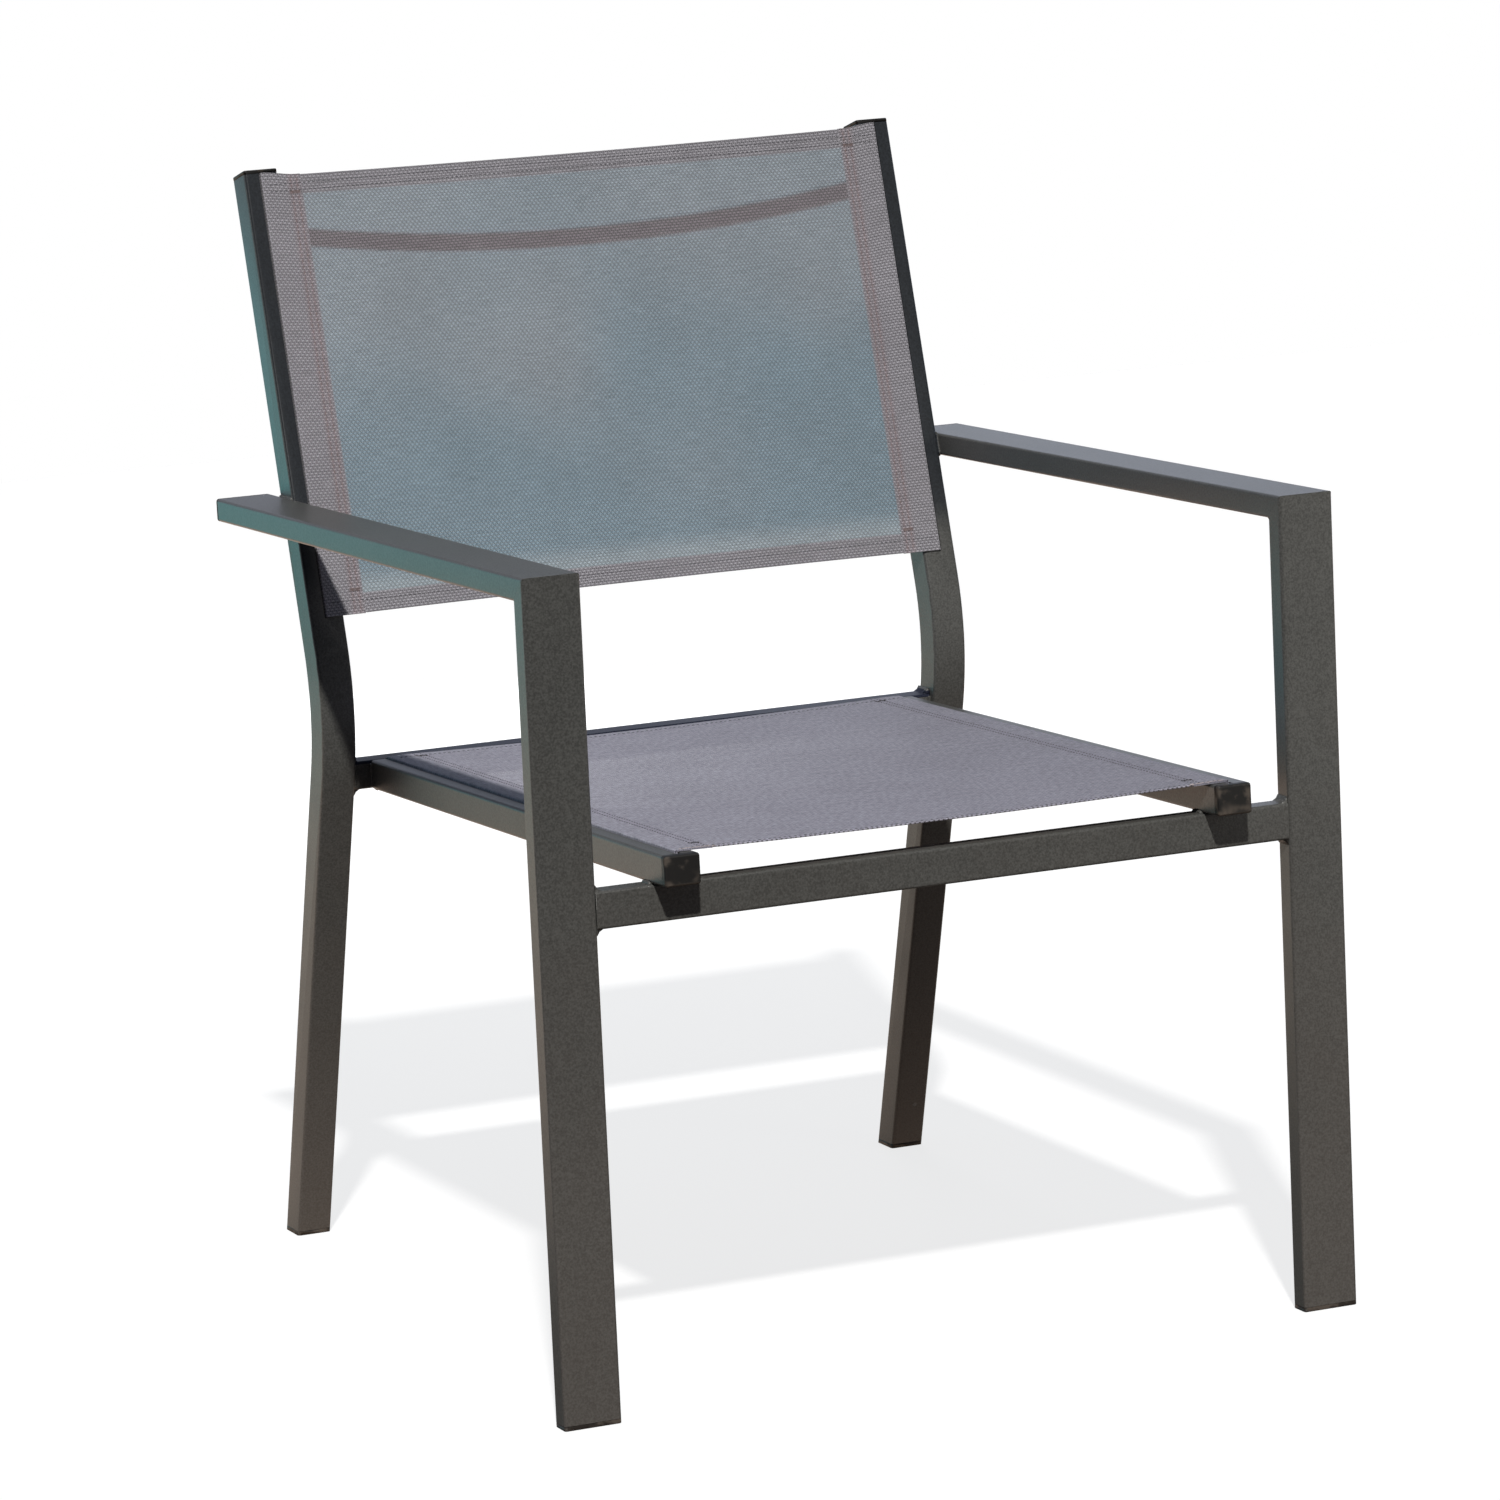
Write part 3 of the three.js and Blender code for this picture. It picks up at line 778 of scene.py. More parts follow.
def repeated(template: bpy.types.Object, stretch: float, count: int, pitch: float) -> bpy.types.Object:
    """Copies a template with a mesh of its own, and repeats it along X.

    Args:
        template: The template.
        stretch: How much longer each copy is than the template.
        count: How many copies there are.
        pitch: The distance from one to the next.

    Returns:
        The row of copies.
    """
    made = place_mesh(linked("row", template.data.copy()), Matrix.Diagonal((stretch, 1, 1, 1)))
    apply_modifier(
        made, "ARRAY", count=count, use_relative_offset=False,
        use_constant_offset=True, constant_offset_displace=(pitch, 0, 0),
    )
    return made


def joined(name: str, parts: Sequence[bpy.types.Object]) -> bpy.types.Object:
    """Joins objects into one piece.

    Args:
        name: The piece's name.
        parts: The objects.

    Returns:
        The piece.
    """
    make_active(parts[0])
    for part in parts:
        part.select_set(True)
    if len(parts) > 1:
        bpy.ops.object.join()
    parts[0].name = name
    parts[0].data.name = name
    return parts[0]


def dress(piece: bpy.types.Object, material: bpy.types.Material) -> None:
    """Gives a piece its only material and its place on the chair's one body.

    Args:
        piece: The object.
        material: The material.
    """
    piece.data.materials.clear()
    piece.data.materials.append(material)
    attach(piece, "root")
    log.info("%s: %d faces, %s", piece.name, len(piece.data.polygons), material.name)


def eased(share: float) -> float:
    """Smooths a share between 0 and 1, and keeps it there."""
    kept = min(1.0, max(0.0, share))
    return kept * kept * (3 - 2 * kept)


def turned_to(direction: Vector, place: Sequence[float]) -> Matrix:
    """The matrix that lays +Z along a direction, from a place."""
    return Matrix.Translation(place) @ direction.to_track_quat("Z", "Y").to_matrix().to_4x4()


def runs(section: Sequence[tuple]) -> list[float]:
    """How far along a section each of its points lies, from their first two coordinates."""
    return [0.0, *accumulate(math.dist(a[:2], b[:2]) for a, b in zip(section, section[1:]))]


def sheet_of(
    name: str, rows: list[list[Vector]], across: list[float], along: list[float]
) -> bpy.types.Object:
    """Lays a sheet out as a grid of vertices, with the cloth's own map and two painted attributes at 0.

    Args:
        name: The sheet's name.
        rows: The rows of vertices.
        across: Each column's place on the map, in metres.
        along: Each row's place on the map, in metres.

    Returns:
        The sheet.
    """
    columns = len(across)
    faces = [
        (corner, corner + 1, corner + columns + 1, corner + columns)
        for row in range(len(along) - 1)
        for corner in range(row * columns, (row + 1) * columns - 1)
    ]
    mesh = bpy.data.meshes.new(name)
    mesh.from_pydata([vertex for row in rows for vertex in row], [], faces)
    uv = mesh.uv_layers.new(name=CLOTH_MAP)
    for loop in mesh.loops:
        row, column = divmod(loop.vertex_index, columns)
        uv.data[loop.index].uv = (across[column], along[row])
    for label in (SINGLE_LAYER, SEWN):
        mesh.attributes.new(label, "FLOAT", "POINT")
    return linked(name, mesh)


# The chair


@dataclass(frozen=True)
class ChairSizes:
    """The chair's driving sizes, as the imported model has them, and the places that follow from them."""

    arm_height: float = 555 * MM
    arm_rear_height: float = 545 * MM
    chair_height: float = 772 * MM
    seat_front_height: float = 371 * MM
    rail_tip_reach: float = 22 * MM
    arm_past_post: float = 21 * MM
    rear_foot_set_back: float = 600 * MM
    post_bend_height: float = 394.3 * MM
    lower_lean: float = math.radians(16.75)
    recline: float = math.radians(15.49)
    flat_tube_width: float = 40 * MM
    flat_tube_thickness: float = 16 * MM
    post_size: float = 25 * MM
    corner_radius: float = 2 * MM
    seam: float = 0.3 * MM
    rod_radius: float = 2.5 * MM
    spreader_radius: float = 6.5 * MM
    crossbar_bead: float = 4 * MM

    @property
    def front_y(self) -> float:
        """Y of the front legs' front faces."""
        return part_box("left_front_leg")[0].y

    @property
    def seat_tilt(self) -> float:
        """How far the seat falls to the rear, as an angle."""
        seat = next(m for m in frame["record"]["mounts"] if m["name"] == "seat_face")
        return math.asin(seat["axis"][1])

    def upper_post_y(self, height: float) -> float:
        """Y of the posts' front faces at a height above their bend."""
        knee = self.rear_foot_set_back - self.post_bend_height * math.tan(self.lower_lean)
        return self.front_y + knee + (height - self.post_bend_height) * math.tan(self.recline)

    def arm_top_z(self, y: float) -> float:
        """The height of the armrests' tops at a distance back.

        Args:
            y: The distance back.

        Returns:
            The height.
        """
        post = self.upper_post_y(self.arm_rear_height) - self.front_y
        run = post + self.post_size / math.cos(self.recline) + self.arm_past_post
        return self.arm_height - (self.arm_height - self.arm_rear_height) * (y - self.front_y) / run


@dataclass
class RefinedParts:
    """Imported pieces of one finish, carried over merged and smooth round their corners."""

    slot: str
    suffix: str
    merge_distance: float = 0.01 * MM

    def build(self, material: bpy.types.Material) -> None:
        """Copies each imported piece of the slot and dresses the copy, which replaces it.

        Args:
            material: The finish.
        """
        for node in [s["node"] for s in frame["record"]["subparts"] if s["material_slot"] == self.slot]:
            made = linked(f"{node}_{self.suffix}", frame["nodes"][node].data.copy())
            with edit_mode(made, Element.VERTICES):
                bpy.ops.mesh.remove_doubles(threshold=self.merge_distance)
            shade_smooth(made)
            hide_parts(node)
            dress(made, material)


@dataclass
class WeldBeads:
    """One side's welds: rippled beads along straight corners, and rings round the bars' ends."""

    sizes: ChairSizes
    side_name: str
    radius: float = 1.7 * MM
    thin_radius: float = 1.4 * MM
    end_share: float = 0.55
    ripple_pitch: float = 1.5 * MM
    ripple: float = 0.1
    ring_ripples: int = 22
    sides: int = 10
    bury: float = 0.4 * MM
    spatter_radius: float = 2.3 * MM
    spatter_push: float = 0.5 * MM
    spatter_cap: float = 0.4
    smooth_angle: float = 60.0

    @property
    def side(self) -> int:
        """-1 for the left side, 1 for the right one."""
        return SIDES[self.side_name]

    def straight(self, start: Place, end: Place, radius: float) -> bpy.types.Object:
        """Models a bead along a straight corner by extruding a disc, ripple by ripple.

        Args:
            start: Where the bead starts.
            end: Where it ends.
            radius: Its radius.

        Returns:
            The bead.
        """
        run = Vector(end) - Vector(start)
        steps = max(3, round(2 * run.length / self.ripple_pitch))
        step = run.length / steps
        bead = started(
            bpy.ops.mesh.primitive_circle_add, vertices=self.sides, radius=radius, fill_type="NGON"
        )
        with edit_mode(bead):
            share = self.end_share
            bpy.ops.transform.resize(value=(share, share, share), center_override=(0, 0, 0))
            for number in range(1, steps + 1):
                swell = 1 - self.ripple if number % 2 else 1 + self.ripple
                factor = (self.end_share if number == steps else swell) / share
                bpy.ops.mesh.extrude_region_move(TRANSFORM_OT_translate={"value": (0, 0, step)})
                bpy.ops.transform.resize(value=(factor, factor, 1), center_override=(0, 0, number * step))
                share = swell
            turn_outward()
        return place_mesh(bead, turned_to(run, start))

    def ring(self, centre: Vector, bar_radius: float) -> bpy.types.Object:
        """Models the bead round a bar's end, about X.

        Args:
            centre: The middle of the bar's end.
            bar_radius: The bar's radius.

        Returns:
            The bead.
        """
        bead = started(
            bpy.ops.mesh.primitive_torus_add,
            major_radius=bar_radius + self.bury,
            minor_radius=self.radius,
            major_segments=2 * self.ring_ripples,
            minor_segments=self.sides,
        )
        for vertex in bead.data.vertices:
            turn = math.atan2(vertex.co.y, vertex.co.x)
            vertex.co.z *= 1 + self.ripple * math.cos(self.ring_ripples * turn)
        return place_mesh(bead, turned_to(Vector((1, 0, 0)), centre))

    def spatter(self, centre: Place) -> bpy.types.Object:
        """Models a lump left where a bead was ended.

        Args:
            centre: Its middle.

        Returns:
            The lump.
        """
        lump = started(bpy.ops.mesh.primitive_ico_sphere_add, subdivisions=3, radius=self.spatter_radius)
        with edit_mode(lump, Element.VERTICES):
            cap = self.spatter_cap * self.spatter_radius
            select_where(lump, Element.VERTICES, lambda v: v.co.z > cap)
            bpy.ops.transform.translate(value=(self.spatter_push, 0, self.spatter_push))
        return place_mesh(lump, Matrix.Translation(centre))

    def rail_beads(self) -> list[bpy.types.Object]:
        """The beads that hold the seat rail on both crossbars.

        Returns:
            The beads.
        """
        rail_low, rail_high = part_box(f"{self.side_name}_seat_rail")
        front_low, front_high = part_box("front_crossbar")
        rear_low, rear_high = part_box("rear_crossbar")
        lap, lower_gap, upper_gap = 2 * MM, 5 * MM, 6 * MM
        top, under = front_high.z - self.sizes.crossbar_bead, rail_low.z + self.bury
        low, high = rear_low.z + lower_gap, rear_high.z - upper_gap
        y = rear_low.y - self.bury
        beads = []
        for x in (rail_low.x, rail_high.x):
            front, rear = (x, front_low.y + lap, top), (x, front_high.y - lap, top)
            beads.append(self.straight(front, rear, self.radius))
            beads.append(self.straight((x, y, low), (x, y, high), self.thin_radius))
        left, right = (rail_low.x + lap, y, under), (rail_high.x - lap, y, under)
        beads.append(self.straight(left, right, self.radius))
        return beads

    def arm_beads(self) -> list[bpy.types.Object]:
        """The beads between the armrest and its post, above and below, and up the post's front edge.

        Returns:
            The beads.
        """
        sizes = self.sizes
        x = self.side * (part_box("right_armrest")[0].x - self.bury)
        top = sizes.arm_top_z(sizes.upper_post_y(sizes.arm_rear_height))
        margin, drop, fall = 1 * MM, 0.7 * MM, 0.4 * MM
        beads = []
        for z in (top - drop, top - (sizes.flat_tube_thickness - drop)):
            front = sizes.upper_post_y(z) + margin
            rear = front + sizes.post_size / math.cos(sizes.recline) - 2 * margin
            beads.append(self.straight((x, front, z), (x, rear, z - fall), self.radius))
        heights = (top + margin - sizes.flat_tube_thickness, top - margin)
        start, end = ((x, sizes.upper_post_y(z) + self.bury, z) for z in heights)
        beads.append(self.straight(start, end, self.thin_radius))
        return beads

    def crossbar_beads(self) -> list[bpy.types.Object]:
        """The upright beads at the crossbars' ends, and the lump above the rear one.

        Returns:
            The beads.
        """
        beads = []
        inset, lump_inset, lump_depth = 5.5 * MM, 1.2 * MM, 3 * MM
        faces = (("front_crossbar", False), ("rear_crossbar", True), ("rear_crossbar", False))
        for node, in_front in faces:
            low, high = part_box(node)
            x = self.side * (high.x - self.bury)
            y = low.y if in_front else high.y
            beads.append(self.straight((x, y, low.z + inset), (x, y, high.z - inset), self.thin_radius))
        lump = (self.side * (high.x - lump_inset), low.y + lump_depth, high.z - lump_depth)
        return [*beads, self.spatter(lump)]

    def bar_rings(self) -> list[bpy.types.Object]:
        """The rings round the ends of the two bowed bars.

        Returns:
            The rings.
        """
        rings = []
        end_tolerance = 0.1 * MM
        for node in ("back_spreader_bar", "seat_spreader_bar"):
            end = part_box(node)[1].x - end_tolerance
            corners = [v.co for v in frame["nodes"][node].data.vertices if self.side * v.co.x > end]
            centre = sum(corners, Vector()) / len(corners)
            radius = max((corner - centre).length for corner in corners)
            centre.x += self.side * self.sizes.seam / 2
            rings.append(self.ring(centre, radius))
        return rings

    def mitre_seam(self) -> list[bpy.types.Object]:
        """Models the ground weld that closes the mitre between the leg and its armrest.

        Returns:
            The seam.
        """
        sizes = self.sizes
        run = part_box("right_armrest")[1].y - sizes.front_y
        slope = math.atan2(sizes.arm_height - sizes.arm_rear_height, run)
        mitre = (math.pi / 2 - slope) / 2
        length = sizes.flat_tube_thickness / math.sin(mitre)
        sunk, segments, swell, rounding = 0.04 * MM, 5, 0.3, 1.12
        seam = started(bpy.ops.mesh.primitive_plane_add, size=1)
        with edit_mode(seam):
            size = (sizes.flat_tube_width - 2 * sunk, length - 3 * sunk, 1)
            bpy.ops.transform.resize(value=size, center_override=(0, 0, 0))
            bpy.ops.mesh.bevel(offset=sizes.corner_radius * rounding, segments=segments, affect="VERTICES")
            thickness = sizes.seam * (1 + swell)
            bpy.ops.mesh.extrude_region_move(TRANSFORM_OT_translate={"value": (0, 0, thickness)})
            bpy.ops.mesh.select_all(action="SELECT")
            bpy.ops.transform.translate(value=(0, 0, -0.5 * thickness))
            turn_outward()
        down = Vector((0, math.sin(mitre), -math.cos(mitre)))
        normal = Vector((0, math.cos(mitre), math.sin(mitre)))
        low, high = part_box("right_front_leg")
        corner = Vector((self.side * (low.x + high.x) / 2, sizes.front_y, sizes.arm_height))
        turn = Matrix((down.cross(normal), down, normal)).transposed().to_4x4()
        return [place_mesh(seam, Matrix.Translation(corner + down * (length / 2)) @ turn)]

    def build(self, material: bpy.types.Material) -> None:
        """Models and dresses the side's welds.

        Args:
            material: The frame's finish.
        """
        groups = {
            "rail_welds": self.rail_beads(),
            "armrest_welds": self.arm_beads(),
            "crossbar_welds": self.crossbar_beads(),
            "spreader_bar_welds": self.bar_rings(),
            "mitre_weld": self.mitre_seam(),
        }
        for label, beads in groups.items():
            piece = joined(f"{self.side_name}_{label}", beads)
            shade_smooth(piece, self.smooth_angle)
            dress(piece, material)


@dataclass
class SewnRow:
    """A row of stitches on a sling, from one place to another in the cloth's own (across, along)."""

    start: tuple[float, float]
    end: tuple[float, float]
    pitch: float = 4.2 * MM


@dataclass
class Sling:
    """A taut sling: one cloth that goes through a slot on each side and round a rod, with hemmed ends."""

    name: str
    origin: Vector
    along: Vector
    normal: Vector
    length: float
    slot_x: float
    tube_inner_x: float
    pocket_width: float
    hem_width: float
    side_rows: tuple[float, ...]
    hem_rows: tuple[tuple[float, float], ...]
    sag: float = 2.0 * MM
    cloth_thickness: float = 0.6 * MM
    top_layer: float = 1.4 * MM
    low_layer: float = 0.65 * MM
    pocket_overhang: float = 1.0 * MM
    pocket_rise: float = 0.0
    thread_ends: bool = False
    end_curve: float = 1.0 * MM
    edge_softness: float = 0.8 * MM
    loop_depth: float = 5.8 * MM
    loop_radius: float = 3.4 * MM
    neck_half: float = 0.75 * MM
    neck_bend: float = 1.0 * MM
    back_bend: float = 0.6 * MM
    edge_past_slot: float = 1.45 * MM
    edge_step: float = 0.5 * MM
    groove: float = 0.22 * MM
    groove_width: float = 0.9 * MM
    sewn_width: float = 2.2 * MM
    hem_gap: float = 0.1 * MM
    thread_radius: float = 0.27 * MM
    stitch_length: float = 3.0 * MM
    hem_pitch: float = 3.6 * MM
    edge_pitch: float = 0.0
    row_step: float = 7.0 * MM
    cloth_angle: float = 50.0
    thread_angle: float = 70.0

    @property
    def pocket_x(self) -> float:
        """The pocket's inner edge."""
        return self.slot_x + self.edge_past_slot - self.pocket_width

    def point(self, across: float, along: float, height: float) -> Vector:
        """A place in the chair's frame, from one across, along and above the cloth, towards the sitter."""
        return self.origin + Vector((across, 0, 0)) + self.along * along + self.normal * height

    def sagged(self, across: float, height: float) -> float:
        """A height on the cloth at a place across it, with its slight sag between the tubes."""
        share = min(1.0, abs(across) / self.tube_inner_x)
        return height - self.sag * (1 - share**2)

    def pull(self, across: float, width: float) -> float:
        """How strongly the side rows pull at a place across, from 0 to 1, over a width beside each row."""
        return max(math.exp(-(((abs(across) - row) / width) ** 2)) for row in self.side_rows)

    def grooved(self, across: float, height: float) -> float:
        """A height on the top layer at a place across it, pulled down along the rows of stitches."""
        return height - self.groove * self.pull(across, self.groove_width)

    def end_along(self, across: float, far_end: bool, top: bool = True) -> float:
        """How far the cloth's end lies inside its full length. The pockets' far ends reach past it.

        Args:
            across: Along X.
            far_end: Whether it is the far end.
            top: Whether it is the layer on top.

        Returns:
            The distance.
        """
        x = abs(across)
        inside = 0.0
        if top:
            curve = self.end_curve * max(0.0, 1 - (x / self.pocket_x) ** 2)
            share = (self.pocket_x + self.edge_softness - x) / (2 * self.edge_softness)
            inside = eased(share) * (self.pocket_overhang + curve)
        if far_end:
            inside -= self.pocket_rise * eased((x - self.side_rows[0]) / (self.slot_x - self.side_rows[0]))
        return inside

    def half_profile(self) -> list[tuple[float, float, bool]]:
        """The cloth's section on the right: from the middle, round the rod and back to the pocket's edge.

        Returns:
            Across, height, and whether the point is on the top layer.
        """
        inner, top = self.pocket_x, self.top_layer
        plain_steps, fine_steps, bend_steps, loop_steps, back_steps, low_steps = 24, 30, 5, 16, 4, 16
        before, start = inner - self.edge_step, inner + self.edge_step
        points = [(inner * step / plain_steps, top, True) for step in range(1, plain_steps)]
        points.append((before, top, True))
        turn_x = self.slot_x + self.neck_half - self.neck_bend
        reach = turn_x - start
        points += [(start + reach * step / fine_steps, top, True) for step in range(fine_steps + 1)]
        for step in range(1, bend_steps + 1):
            angle = math.pi / 2 * (1 - step / bend_steps)
            fall = self.neck_bend * (1 - math.sin(angle))
            points.append((turn_x + self.neck_bend * math.cos(angle), top - fall, False))
        spread = math.asin(self.neck_half / self.loop_radius)
        for step in range(loop_steps + 1):
            angle = math.pi / 2 - spread - (2 * math.pi - 2 * spread) * step / loop_steps
            rise = self.loop_radius * math.sin(angle)
            points.append((self.slot_x + self.loop_radius * math.cos(angle), rise - self.loop_depth, False))
        back_x = self.slot_x - self.neck_half - self.back_bend
        for step in range(back_steps + 1):
            angle = math.pi / 2 * step / back_steps
            fall = self.back_bend * (1 - math.sin(angle))
            points.append((back_x + self.back_bend * math.cos(angle), self.low_layer - fall, False))
        reach = inner - back_x
        points += [
            (back_x + reach * step / low_steps, self.low_layer, False)
            for step in range(1, low_steps + 1)
        ]
        return points

    def rows_along(self) -> list[float]:
        """The places of the cloth's rows of vertices, as shares of its length, closer together at the hems.

        Returns:
            The shares, from 0 to 1.
        """
        hem = self.hem_width + self.pocket_overhang
        marks = [0.0, 0.5 * hem, hem - self.edge_step, hem + self.edge_step]
        inner = self.length - 2 * marks[-1]
        steps = round(inner / self.row_step)
        middle = [marks[-1] + inner * step / steps for step in range(1, steps)]
        ends = [self.length - mark for mark in reversed(marks)]
        return [mark / self.length for mark in (*marks, *middle, *ends)]

    def cloth(self) -> bpy.types.Object:
        """Lays the whole cloth out on its section and gives it its thickness.

        Returns:
            The cloth.
        """
        half = self.half_profile()
        left = [(-x, height, top) for x, height, top in reversed(half)]
        profile = [*left, (0.0, self.top_layer, True), *half]
        shares = self.rows_along()
        clear = self.pocket_overhang + self.hem_width
        rows, single, sewn = [], [], []
        for share in shares:
            rows.append([])
            between = clear < share * self.length < self.length - clear
            for x, height, top in profile:
                near, far = (self.end_along(x, far_end, top) for far_end in (False, True))
                level = self.grooved(x, height) if top else height
                if top or height == self.low_layer:
                    level = self.sagged(x, level)
                rows[-1].append(self.point(x, near + (self.length - near - far) * share, level))
                single.append(float(top and between and abs(x) < self.pocket_x))
                sewn.append(self.pull(x, self.sewn_width) if top else 0.0)
        along = [share * self.length for share in shares]
        made = sheet_of(f"{self.name}_cloth", rows, runs(profile), along)
        for label, values in ((SINGLE_LAYER, single), (SEWN, sewn)):
            made.data.attributes[label].data.foreach_set("value", values)
        apply_modifier(made, "SOLIDIFY", thickness=self.cloth_thickness, offset=0.0)
        shade_smooth(made, self.cloth_angle)
        return made

    def hem(self, label: str, far_end: bool) -> bpy.types.Object:
        """Models the turned hem at one end: round the cloth's end and back under it.

        Args:
            label: The hem's name.
            far_end: Whether it lies at the far end of the cloth.

        Returns:
            The hem.
        """
        fold_steps, inward_steps, steps = 8, 6, 48
        inset, slimmer = 0.6 * MM, 0.96
        drop = self.cloth_thickness + self.hem_gap
        turns = [math.pi * step / fold_steps for step in range(fold_steps + 1)]
        section = [(-drop / 2 * math.sin(turn), drop / 2 * (math.cos(turn) - 1)) for turn in turns]
        section += [(self.hem_width * step / inward_steps, -drop) for step in range(1, inward_steps + 1)]
        half_width = self.pocket_x - inset
        across = [2 * half_width * step / steps for step in range(steps + 1)]
        rows = []
        for inward, down in section:
            rows.append([])
            for x in (run - half_width for run in across):
                inside = self.end_along(x, far_end) + inward
                along = self.length - inside if far_end else inside
                rows[-1].append(self.point(x, along, self.sagged(x, self.top_layer + down)))
        made = sheet_of(label, rows, across, runs(section))
        with edit_mode(made):
            turn_outward()
        apply_modifier(made, "SOLIDIFY", thickness=self.cloth_thickness * slimmer, offset=0.0)
        shade_smooth(made, self.cloth_angle)
        return made

    def stitch(self) -> bpy.types.Object:
        """Models one stitch: a short arch of thread along X whose ends go into the cloth.

        Returns:
            The stitch, as a template.
        """
        made = started(
            bpy.ops.mesh.primitive_cylinder_add,
            vertices=6, radius=self.thread_radius, depth=self.stitch_length, rotation=(0, math.pi / 2, 0),
        )
        bpy.ops.object.transform_apply(location=True, rotation=True, scale=True)
        half = self.stitch_length / 2
        tip, shoulder = 0.9 * half, 0.2 * half
        end_drop, shoulder_drop = 2.2 * self.thread_radius, 0.35 * self.thread_radius
        with edit_mode(made, Element.EDGES):
            select_where(made, Element.EDGES, lambda e: abs(e.verts[0].co.x - e.verts[1].co.x) > half)
            bpy.ops.mesh.subdivide(number_cuts=3)
            select_where(made, Element.VERTICES, lambda v: abs(v.co.x) > tip)
            bpy.ops.transform.translate(value=(0, 0, -end_drop))
            select_where(made, Element.VERTICES, lambda v: shoulder < abs(v.co.x) < tip)
            bpy.ops.transform.translate(value=(0, 0, -shoulder_drop))
            turn_outward()
        return made

    def sewn(self, template: bpy.types.Object, row: SewnRow) -> bpy.types.Object:
        """Repeats the stitch along a row and lays the row on the cloth.

        Args:
            template: The stitch.
            row: Where the row runs.

        Returns:
            The row.
        """
        start, end = Vector((*row.start, 0)), Vector((*row.end, 0))
        free = (end - start).length - self.stitch_length
        count = max(2, round(free / row.pitch) + 1)
        made = repeated(template, 1.0, count, free / (count - 1))
        direction = (end - start).normalized()
        aside = Vector((-direction.y, direction.x, 0))
        surface, lift = self.top_layer + self.cloth_thickness / 2, 0.35 * self.thread_radius
        for vertex in made.data.vertices:
            place = start + direction * (vertex.co.x + self.stitch_length / 2) + aside * vertex.co.y
            level = self.grooved(place.x, surface) + lift + vertex.co.z
            vertex.co = self.point(place.x, place.y, self.sagged(place.x, level))
        return made

    def edge_row(self, template: bpy.types.Object, far_end: bool) -> bpy.types.Object:
        """Repeats short stitches along a hem's fold, where they face away from the cloth.

        Args:
            template: The stitch.
            far_end: Whether it is the far hem.

        Returns:
            The row.
        """
        stretch, swell, lift, margin = 0.62, 1.6, 0.3, 3 * MM
        reach = self.pocket_x - margin
        count = round(2 * reach / self.edge_pitch)
        pitch = 2 * reach / count
        made = repeated(template, stretch, count, pitch)
        fold = (self.cloth_thickness + self.hem_gap) / 2
        outer = fold + self.cloth_thickness / 2 + lift * self.thread_radius
        for vertex in made.data.vertices:
            x = vertex.co.x - reach + 0.5 * pitch
            inside = self.end_along(x, far_end) - outer - vertex.co.z
            upward = -swell * vertex.co.y if far_end else swell * vertex.co.y
            along = self.length - inside if far_end else inside
            vertex.co = self.point(x, along, self.sagged(x, self.top_layer - fold + upward))
        return made

    def side_seams(self) -> list[SewnRow]:
        """The rows that sew both pockets shut.

        Returns:
            The rows.
        """
        margin = 2.5 * MM
        return [
            SewnRow((side * x, margin + number * MM), (side * x, self.length - margin))
            for side in SIDES.values()
            for number, x in enumerate(self.side_rows)
        ]

    def hem_seams(self) -> list[SewnRow]:
        """The rows that sew both hems, across the cloth from pocket to pocket.

        Returns:
            The rows.
        """
        margin = 4 * MM
        reach = self.slot_x - margin
        places = [along for near, far in self.hem_rows for along in (near, self.length - far)]
        return [SewnRow((-reach, along), (reach, along), self.hem_pitch) for along in places if along]

    def bar_tacks(self) -> list[SewnRow]:
        """The close rows that lock the four corners.

        Returns:
            The rows.
        """
        width, gap, count, pitch, outset = 9 * MM, 0.75 * MM, 3, 2.4 * MM, 2 * MM
        near_margin, far_margin = 4 * MM, 1 * MM
        rows = []
        for side in SIDES.values():
            x = side * (self.side_rows[0] - outset)
            for end in (self.hem_width + near_margin, self.length - self.hem_width - far_margin):
                for along in (end + turn * gap for turn in range(count)):
                    rows.append(SewnRow((x, along), (x + side * width, along), pitch))
        return rows

    def loose_ends(self) -> list[SewnRow]:
        """The untrimmed stitches, askew, where the sewing starts at the near corners.

        Returns:
            The rows, of two stitches that lie in one.
        """
        count, spacing, lean, length, outset = 11, 2.3 * MM, 0.55 * MM, 3.1 * MM, 5 * MM
        first, stagger = 0.5, 0.8
        rows = []
        for side in SIDES.values():
            for number in range(count):
                x = side * (self.side_rows[0] - outset + number * spacing)
                along = (first + stagger * (number * 5 % 3)) * MM
                turn = lean * (number * 3 % 5 - 2)
                rows.append(SewnRow((x, along), (x + side * length, along + turn), length))
        return rows

    def flat_width(self) -> float:
        """The cloth's width before it is folded round the rods."""
        return 2 * runs([(0.0, self.top_layer), *self.half_profile()])[-1]

    def bar_behind(self, node: str, radius: float) -> BarBehind:
        """Where the painted shade of a bowed bar behind the cloth lies, as seen from a little above.

        Args:
            node: The bar.
            radius: Its radius.

        Returns:
            The stretch where its shade is painted.
        """
        low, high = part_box(node)
        sight_slope = 0.17
        places = []
        for y, z in ((high.y - radius, low.z + radius), (low.y + radius, high.z - radius)):
            offset = Vector((0, y, z)) - self.origin
            places.append(offset.dot(self.along) + sight_slope * offset.dot(self.normal))
        return BarBehind((self.flat_width() / 2, places[0]), places[1] - places[0], high.x, radius)

